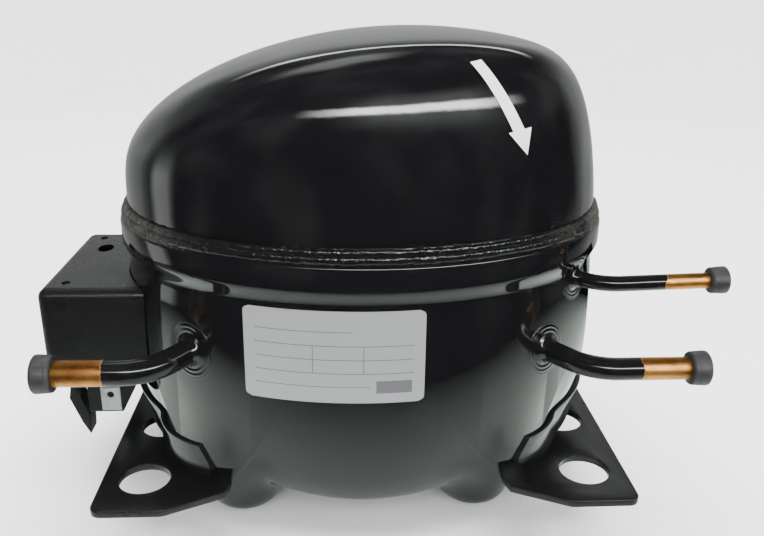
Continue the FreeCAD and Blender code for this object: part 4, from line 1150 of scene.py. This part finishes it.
class COMPRESSOR_OT_feet(PieceOperator, Operator):
    """Builds the two pressed foot plates with their saddles"""

    bl_idname = "compressor.feet"
    bl_label = "Foot plates"

    def plate(self, f, outline, holes):
        """A flat plate with rounded edges and round holes, from a filled curve."""
        curve = bpy.data.curves.new("plate", "CURVE")
        curve.dimensions, curve.fill_mode = "2D", "BOTH"
        curve.extrude, curve.bevel_depth = f.sheet / 2 - f.edge, f.edge
        curve.bevel_resolution, curve.offset = 2, -f.edge
        loops = [outline]
        for x, y in holes:
            turns = (2 * math.pi * i / 64 for i in range(64))
            loops.append([(x + f.hole * math.cos(t), y + f.hole * math.sin(t)) for t in turns])
        for loop in loops:
            spline = curve.splines.new("POLY")
            spline.points.add(len(loop) - 1)
            for point, (x, y) in zip(spline.points, loop):
                point.co = (x, y, 0, 1)
            spline.use_cyclic_u = True
        item = place("plate", curve)
        mesh = evaluated_mesh(item)
        bpy.data.objects.remove(item)
        points = np.array([v.co for v in mesh.vertices]) + np.array([0, 0, f.sheet / 2])
        faces = [tuple(face.vertices) for face in mesh.polygons]
        bpy.data.meshes.remove(mesh)
        return make_mesh("plate", points, faces, sharp=30)

    def build(self, scene):
        s, f = scene.compressor_shell, scene.compressor_feet
        for name, side in (("left", -1), ("right", 1)):
            facing = 0.0 if side > 0 else math.pi
            span = np.linspace(-f.arc, f.arc, 61)
            inner = bowl_contour(s, 0.002, facing + span * side, 0.0002)[:, :2]
            front = [(0.052, 0.077), (0.054, 0.083), (0.075, f.front), (f.reach, f.front)]
            upper = [(side * x, y) for x, y in front]
            corner, back = upper[-1], (side * f.reach, 0.0)
            tip = bend_corner(upper[-2], corner, back, f.corner)
            half = upper[:-2] + bend_corner(upper[1], upper[2], corner, 0.006) + tip
            outline = half + [(x, -y) for x, y in reversed(half)] + [tuple(p) for p in inner]
            if side < 0:
                outline.reverse()
            holes = [(side * f.hole_x, y) for y in (-f.outer_y, -f.inner_y, f.inner_y, f.outer_y)]
            plate = self.plate(f, outline, holes)
            # The saddle: a flange that turns up from the plate and hugs the bowl.
            sheet, top = f.sheet, f.saddle_top
            section = [(0.00015, 0.0004), (0.0005, 0.0), (f.blend, 0.0), (f.blend, sheet)]
            for share in np.linspace(0, 1, 9)[1:]:
                away = (1 - share) ** 2 * f.blend + (1 - (1 - share) ** 2) * sheet
                section.append((away, sheet + share ** 2 * 0.0055))
            section += [(sheet, top - 0.0012), (sheet - 0.0003, top - 0.0004), (sheet - 0.001, top),
                        (0.0010, top), (0.0004, top - 0.0004), (0.00015, top - 0.0012)]
            rings = [bowl_contour(s, z, facing + span * side * f.saddle_share, away) for away, z in section]
            strips = np.stack(rings, 1)
            saddle = solid("saddle", strips, cap=True, sharp=40)
            item = join("foot_plate_" + name, [plate, saddle])
            finish_piece(item, "housing", [satin_material()], ["foot_" + name])
            item.visible_glossy = False      # the bowl's steep corners mirror the floor, not the plates


class COMPRESSOR_OT_start_gear(PieceOperator, Operator):
    """Finishes the cover, clip, starter, overload protector and terminal"""

    bl_idname = "compressor.start_gear"
    bl_label = "Start gear and cover"

    def pocket(self, x, y, half, wide, low, high):
        """An upright oval cutter."""
        rings = [oval(half, wide, z, 48) + np.array([x, y, 0]) for z in (low, high)]
        return solid("pocket", rings, cap=True)

    def cover(self, c):
        """The cover with its oval vent and two dimples cut into the top, and its edges rounded."""
        low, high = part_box("terminal_cover")
        top, over = high.z, high.z + 0.002
        pockets = [self.pocket(low.x + c.vent_x, c.vent_y, c.vent_half, c.vent_wide, top - 0.004, over)]
        for y in (-c.dimple_y, c.dimple_y):
            pockets.append(self.pocket(low.x + c.dimple_x, y, c.dimple, c.dimple * 1.3, top - 0.0008, over))
        node = NODES["terminal_cover"]
        item = place("cover", node.data.copy())
        item.matrix_world = node.matrix_world
        item.data.shade_smooth()
        item.modifiers.new("weld", "WELD").merge_threshold = MERGE
        for cutter in pockets:
            cut = item.modifiers.new("pocket", "BOOLEAN")
            cut.object, cut.operation, cut.solver = cutter, "DIFFERENCE", "EXACT"
        round_edges(item, 0.0004)
        made = evaluated_mesh(item)
        for old in (item, *pockets):
            bpy.data.objects.remove(old)
        item = place("cover_moulding", made)
        finish_piece(item, "cover", [plastic_material()], ["terminal_cover"])

    def build(self, scene):
        self.cover(scene.compressor_cover)
        matt = plain_material("matt moulding", (0.005, 0.005, 0.0055), 0.0, 0.55, 0.7, 1600.0, 1.0, 0.3)
        matt.node_tree.nodes["Principled BSDF"].inputs["Specular IOR Level"].default_value = 0.3
        dress(["ptc_starter", "overload_protector", "cover_clip"], matt, 0.0003)
        zinc = plain_material("zinc plate", tuple(finishes().zinc), 1.0, 0.26, 0.42, 700.0, 0.2, 0.15)
        dress(["terminal_fence", "earth_tab", "earth_screw", "starter_tab"], zinc, 0.00015)
        pins = plain_material("plated pin", (0.62, 0.60, 0.55), 1.0, 0.18, 0.3, 900.0, 0.2, 0.1)
        dress(["terminal_pins"], pins)
        cup = plain_material("terminal cup steel", (0.30, 0.30, 0.31), 1.0, 0.3, 0.5, 500.0, 0.3, 0.2)
        dress(["terminal_cup"], cup)
        glass = plain_material("seal glass", (0.05, 0.12, 0.10), 0.0, 0.06, 0.12, 900.0, 1.0, 0.02)
        dress(["pin_glass"], glass)


class COMPRESSOR_OT_inside(PieceOperator, Operator):
    """Finishes the pump, motor and suspension inside the shell"""

    bl_idname = "compressor.inside"
    bl_label = "Pump and motor"

    def build(self, scene):
        # Name, colour, metallic, roughness from and to, grain's scale, stretch and depth, then the nodes.
        for *finish, names in (
                ("ground steel", (0.50, 0.50, 0.51), 1.0, 0.20, 0.34, 800.0, 0.1, 0.15,
                 ["spring_pins", "stator_bolts", "head_bolts", "valve_plate", "suction_reed",
                  "discharge_reed", "reed_stop", "crankshaft", "crank_pin", "wrist_pin", "piston",
                  "oil_pickup", "thrust_washer", "discharge_muffler_caps"]),
                ("grey iron", (0.16, 0.16, 0.165), 0.9, 0.45, 0.65, 420.0, 1.0, 0.5,
                 ["cylinder_block", "counterweight"]),
                ("electrical steel", (0.26, 0.27, 0.29), 1.0, 0.35, 0.5, 900.0, 1.0, 0.3,
                 ["stator_core", "rotor_core"]),
                ("enamelled winding", (0.42, 0.13, 0.05), 0.8, 0.22, 0.36, 1200.0, 0.1, 0.5,
                 ["slot_windings", "winding_upper", "winding_lower"]),
                ("die casting", (0.60, 0.61, 0.62), 1.0, 0.34, 0.5, 500.0, 1.0, 0.3,
                 ["cylinder_head", "rotor_rings", "connecting_rod"]),
                ("gasket", (0.06, 0.08, 0.065), 0.0, 0.7, 0.85, 900.0, 1.0, 0.3,
                 ["cylinder_gasket", "head_gasket"]),
                ("natural moulding", (0.78, 0.75, 0.68), 0.0, 0.4, 0.55, 900.0, 1.0, 0.1,
                 ["inner_connector", "muffler_tray", "muffler_lid", "muffler_snout", "spring_caps"]),
                ("bright copper", tuple(scene.compressor_finishes.copper), 1.0, 0.2, 0.35, 900.0, 0.1, 0.15,
                 ["discharge_line"])):
            dress(names, plain_material(*finish))


class COMPRESSOR_OT_suspension(PieceOperator, Operator):
    """Builds the four springs and the motor's leads"""

    bl_idname = "compressor.suspension"
    bl_label = "Springs and leads"

    def coil(self, p, x, y, low, high):
        """One coil spring between two heights, with a closed turn at each end."""
        closed = 1.05 * p.wire               # rise of a turn that lies on the one below it
        rise = (high - low - 3.1 * p.wire) / (p.turns - 2)
        path = []
        for turn in np.linspace(0, p.turns, int(p.turns * 30)):
            z = closed * min(turn, 1.0) + rise * min(max(turn - 1, 0.0), p.turns - 2)
            z += closed * max(turn - p.turns + 1, 0.0)
            way = 2 * math.pi * turn
            path.append((x + p.mean * math.cos(way), y + p.mean * math.sin(way), low + p.wire / 2 + z))
        return solid("coil", [ring(frame, p.wire / 2, 12) for frame in frames(path)], cap=True)

    def springs(self, p):
        """The four coils, each standing between its pin on the housing and its cap on the pump."""
        low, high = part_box("suspension_springs")
        x, y = high.x - p.mean - p.wire / 2, high.y - p.mean - p.wire / 2
        coils = [self.coil(p, side * x, end * y, low.z, high.z) for side in (-1, 1) for end in (-1, 1)]
        item = join("suspension_coils", coils)
        steel = plain_material("spring steel", (0.40, 0.40, 0.41), 1.0, 0.22, 0.36, 900.0, 0.1, 0.15)
        between = ("housing", "pump", (0, 0, low.z + p.wire), (0, 0, high.z - p.wire))
        finish_piece(item, between, [steel], ["suspension_springs"])

    def leads(self, p):
        """Three sleeved leads from the connector on the housing up to the motor."""
        low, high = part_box("lead_wires")
        leads = []
        run, top = low.z + p.sleeve, high.z - p.sleeve / 2
        for place in (-p.gap, 0.0, p.gap):
            corners = [(low.x, place, run), (low.x + p.straight, place, run), (low.x + p.rise, place, top),
                       (high.x - p.sleeve / 4, place, top - 0.004)]
            path = frames(bent(corners, 0.006))
            leads.append(solid("lead", [ring(frame, p.sleeve, 20) for frame in path], cap=True))
        item = join("motor_leads", leads)
        sleeve = plain_material("wire sleeve", (0.55, 0.03, 0.02), 0.0, 0.35, 0.5, 900.0, 1.0, 0.1)
        between = ("housing", "pump", (low.x + p.straight, 0, 0), (high.x - 0.004, 0, 0))
        finish_piece(item, between, [sleeve], ["lead_wires"])

    def build(self, scene):
        self.springs(scene.compressor_springs)
        self.leads(scene.compressor_springs)


class COMPRESSOR_OT_stage(PieceOperator, Operator):
    """Builds the pale floor, the soft lights and the camera"""

    bl_idname = "compressor.stage"
    bl_label = "Stage"

    def surroundings(self, middle):
        """A large shell that only reflections show: the window, the pale room behind and its strip lights."""
        made, tree, shader = material("surroundings", Base_Color=(0, 0, 0, 1), Specular_IOR_Level=0.0,
                                      Emission_Strength=1.0)
        total = None
        # In degrees: azimuth, height, half width, half height and the two fades, then lean and strength.
        for azimuth, height, wide, tall, side, edge, lean, strength in (
                (-68, 27.0, 26, 1.7, 34, 2.2, -0.10, 30.0),      # window
                (-64, 27.0, 22, 7.0, 26, 9.0, -0.09, 1.1),       # glow around the window
                (84, 31.5, 22, 0.8, 18, 1.6, -0.03, 5.0),        # strip light behind
                (92, -6.0, 60, 22.0, 18, 20.0, 0.0, 0.52),       # pale room behind
                (112, 60.0, 16, 6.0, 22, 9.0, 0.0, 1.5),         # ceiling light
                (174, -20.0, 5, 16.0, 6, 16.0, 0.0, 1.4)):       # doorway at the left
            box = grouped(tree, softbox_group, "Softbox")
            box.inputs["Lean"].default_value = lean
            box.inputs["Strength"].default_value = strength
            for key, degrees in (("Azimuth", azimuth), ("Height", height), ("Half width", wide),
                                 ("Half height", tall), ("Side fade", side), ("Edge fade", edge)):
                box.inputs[key].default_value = math.radians(degrees)
            total = box.outputs[0] if total is None else calc(tree, "ADD", total, box.outputs[0])
        where = add(tree, "ShaderNodeTexCoord")
        room = add(tree, "ShaderNodeTexNoise", inputs={"Scale": 0.9, "Detail": 2.0})
        link(tree, where.outputs["Object"], room.inputs["Vector"])
        total = calc(tree, "ADD", total, ramp(tree, room.outputs["Fac"], 0.45, 0.8, 0.0, 0.3))
        glow = add(tree, "ShaderNodeVectorMath", operation="SCALE", inputs={0: (0.96, 1.0, 0.97)})
        link(tree, total, glow.inputs["Scale"])
        feed(tree, shader, Emission_Color=glow.outputs[0])
        bpy.ops.mesh.primitive_ico_sphere_add(subdivisions=4, radius=2.5, location=middle)
        shell = bpy.context.active_object
        shell.name = "studio_surroundings"
        shell.data.materials.append(made)
        shell.visible_camera = shell.visible_diffuse = False
        shell.visible_shadow = shell.visible_transmission = False

    def card(self, stage):
        """A grey card on the floor that only the part's reflections show, fading out towards its edge."""
        made, tree, shader = material("reflection card", Roughness=1.0, Specular_IOR_Level=0.0)
        where = add(tree, "ShaderNodeTexCoord")
        reach = add(tree, "ShaderNodeVectorMath", operation="DIVIDE")
        link(tree, where.outputs["Object"], reach.inputs[0])
        reach.inputs[1].default_value = (stage.card_side, stage.card_front, 1)
        far = add(tree, "ShaderNodeVectorMath", operation="LENGTH")
        link(tree, reach.outputs[0], far.inputs[0])
        fade = ramp(tree, far.outputs["Value"], 1 - stage.card_fade, 1.0, 1.0, 0.0)
        feed(tree, shader, Base_Color=mix_colour(tree, fade, (0, 0, 0), finishes().card))
        wide, deep, z = stage.card_side, stage.card_front, stage.floor_z + 0.00005
        mesh = bpy.data.meshes.new("studio_card")
        corners = [(-wide, -deep, z), (wide, -deep, z), (wide, deep, z), (-wide, deep, z)]
        mesh.from_pydata(corners, [], [(0, 1, 2, 3)])
        mesh.materials.append(made)
        card = place("studio_card", mesh)
        card.visible_camera = card.visible_diffuse = card.visible_shadow = False

    def paper(self, stage):
        """A round pale floor that curves up at its edge. Mirror images leave it out."""
        made, tree, shader = material("studio paper", Base_Color=(*finishes().floor, 1), Roughness=0.7)
        grain = grouped(tree, grain_group, "Metal grain", scale=500.0, stretch=1.0, depth=0.02)
        feed(tree, shader, Normal=grain.outputs["Normal"])
        flat, curve, wall = 1.2, 0.8, 3.0
        turns = np.linspace(0.0, math.pi / 2, 24)
        profile = [(0.0, 0.0)] + [(flat + curve * math.sin(t), curve - curve * math.cos(t)) for t in turns]
        profile.append((flat + curve, wall))
        paper = lathe("studio_floor", (0, 0, stage.floor_z), (0, 0, 1), profile, around=96, loop=False,
                      sharp=180)
        paper.data.materials.append(made)
        paper.visible_glossy = False

    def lamps(self, middle):
        """Two soft lamps aimed at the middle, placed by azimuth, height and distance."""
        for name, azimuth, height, far, size, power in (
                ("window_lamp", -80, 31, 0.95, (2.0, 0.5), 9.0),
                ("overhead_lamp", 90, 78, 1.6, (2.2, 1.8), 125.0)):
            lamp = bpy.data.lights.new(name, "AREA")
            lamp.shape, lamp.size, lamp.size_y = "RECTANGLE", size[0], size[1]
            lamp.energy = power
            item = place(name, lamp)
            turn, lift = math.radians(azimuth), math.radians(height)
            way = Vector((math.cos(turn) * math.cos(lift), math.sin(turn) * math.cos(lift), math.sin(lift)))
            item.location = middle + way * far
            item.rotation_euler = (-way).to_track_quat("-Z", "Y").to_euler()
            item.visible_glossy = False

    def world(self):
        """A dim sky."""
        world = bpy.data.worlds.new("studio")
        world.use_nodes = True
        sky = world.node_tree.nodes["Background"]
        sky.inputs["Color"].default_value = (0.90, 0.95, 1.0, 1)
        sky.inputs["Strength"].default_value = 0.05
        return world

    def camera(self, stage):
        """The camera, from where it stands and its pitch, yaw and roll."""
        pitch, yaw, roll = stage.pitch, stage.yaw, stage.roll
        ahead = Vector((math.sin(yaw) * math.cos(pitch), math.cos(yaw) * math.cos(pitch), -math.sin(pitch)))
        right = Vector((math.cos(yaw), -math.sin(yaw), 0))
        up = right.cross(ahead)
        side = right * math.cos(roll) + up * math.sin(roll)
        top = up * math.cos(roll) - right * math.sin(roll)
        lens = bpy.data.cameras.new("view")
        lens.sensor_width, lens.lens, lens.clip_start, lens.clip_end = 36.0, stage.lens, 0.01, 30.0
        lens.dof.use_dof = False
        camera = place("view", lens)
        turn = Matrix((side, top, -ahead)).transposed().to_4x4()
        camera.matrix_world = Matrix.Translation(stage.eye) @ turn
        return camera

    def build(self, scene):
        stage, middle = scene.compressor_stage, Vector((0.0, -0.02, 0.10))
        self.paper(stage)
        self.card(stage)
        self.surroundings(middle)
        self.lamps(middle)
        scene.world = self.world()
        bpy.context.scene.camera = self.camera(stage)


class COMPRESSOR_PT_panel(Panel):
    """Sizes, colours and the buttons that build each piece"""

    bl_idname = "COMPRESSOR_PT_panel"
    bl_label = "Hermetic compressor"
    bl_space_type = "VIEW_3D"
    bl_region_type = "UI"
    bl_category = "Compressor"

    def draw(self, context):
        layout = self.layout
        for operator in OPERATORS:
            layout.operator(operator.bl_idname)
        for name, kind in SETTINGS.items():
            box = layout.box()
            box.label(text=kind.__name__)
            for key in kind.__annotations__:
                box.prop(getattr(context.scene, name), key)


SETTINGS = {
    "compressor_shell": ShellSizes,
    "compressor_bead": BeadSizes,
    "compressor_tubes": TubeSizes,
    "compressor_feet": FootSizes,
    "compressor_cover": CoverSizes,
    "compressor_springs": SpringSizes,
    "compressor_labels": LabelSizes,
    "compressor_finishes": Finishes,
    "compressor_stage": StageSettings,
}
OPERATORS = [
    COMPRESSOR_OT_upper_shell,
    COMPRESSOR_OT_lower_shell,
    COMPRESSOR_OT_weld_bead,
    COMPRESSOR_OT_tubes,
    COMPRESSOR_OT_plugs,
    COMPRESSOR_OT_labels,
    COMPRESSOR_OT_feet,
    COMPRESSOR_OT_start_gear,
    COMPRESSOR_OT_inside,
    COMPRESSOR_OT_suspension,
    COMPRESSOR_OT_stage,
]


def register():
    for kind in [*SETTINGS.values(), *OPERATORS, COMPRESSOR_PT_panel]:
        bpy.utils.register_class(kind)
    for name, kind in SETTINGS.items():
        setattr(bpy.types.Scene, name, PointerProperty(type=kind))


def unregister():
    for name in SETTINGS:
        delattr(bpy.types.Scene, name)
    for kind in [COMPRESSOR_PT_panel, *reversed(OPERATORS), *SETTINGS.values()]:
        bpy.utils.unregister_class(kind)


def main():
    """Loads the CAD and builds every piece and the stage."""
    NODES.update(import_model()["nodes"])
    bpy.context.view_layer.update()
    register()
    for operator in OPERATORS:
        group, name = operator.bl_idname.split(".")
        getattr(getattr(bpy.ops, group), name)()


if __name__ == "__main__":
    main()
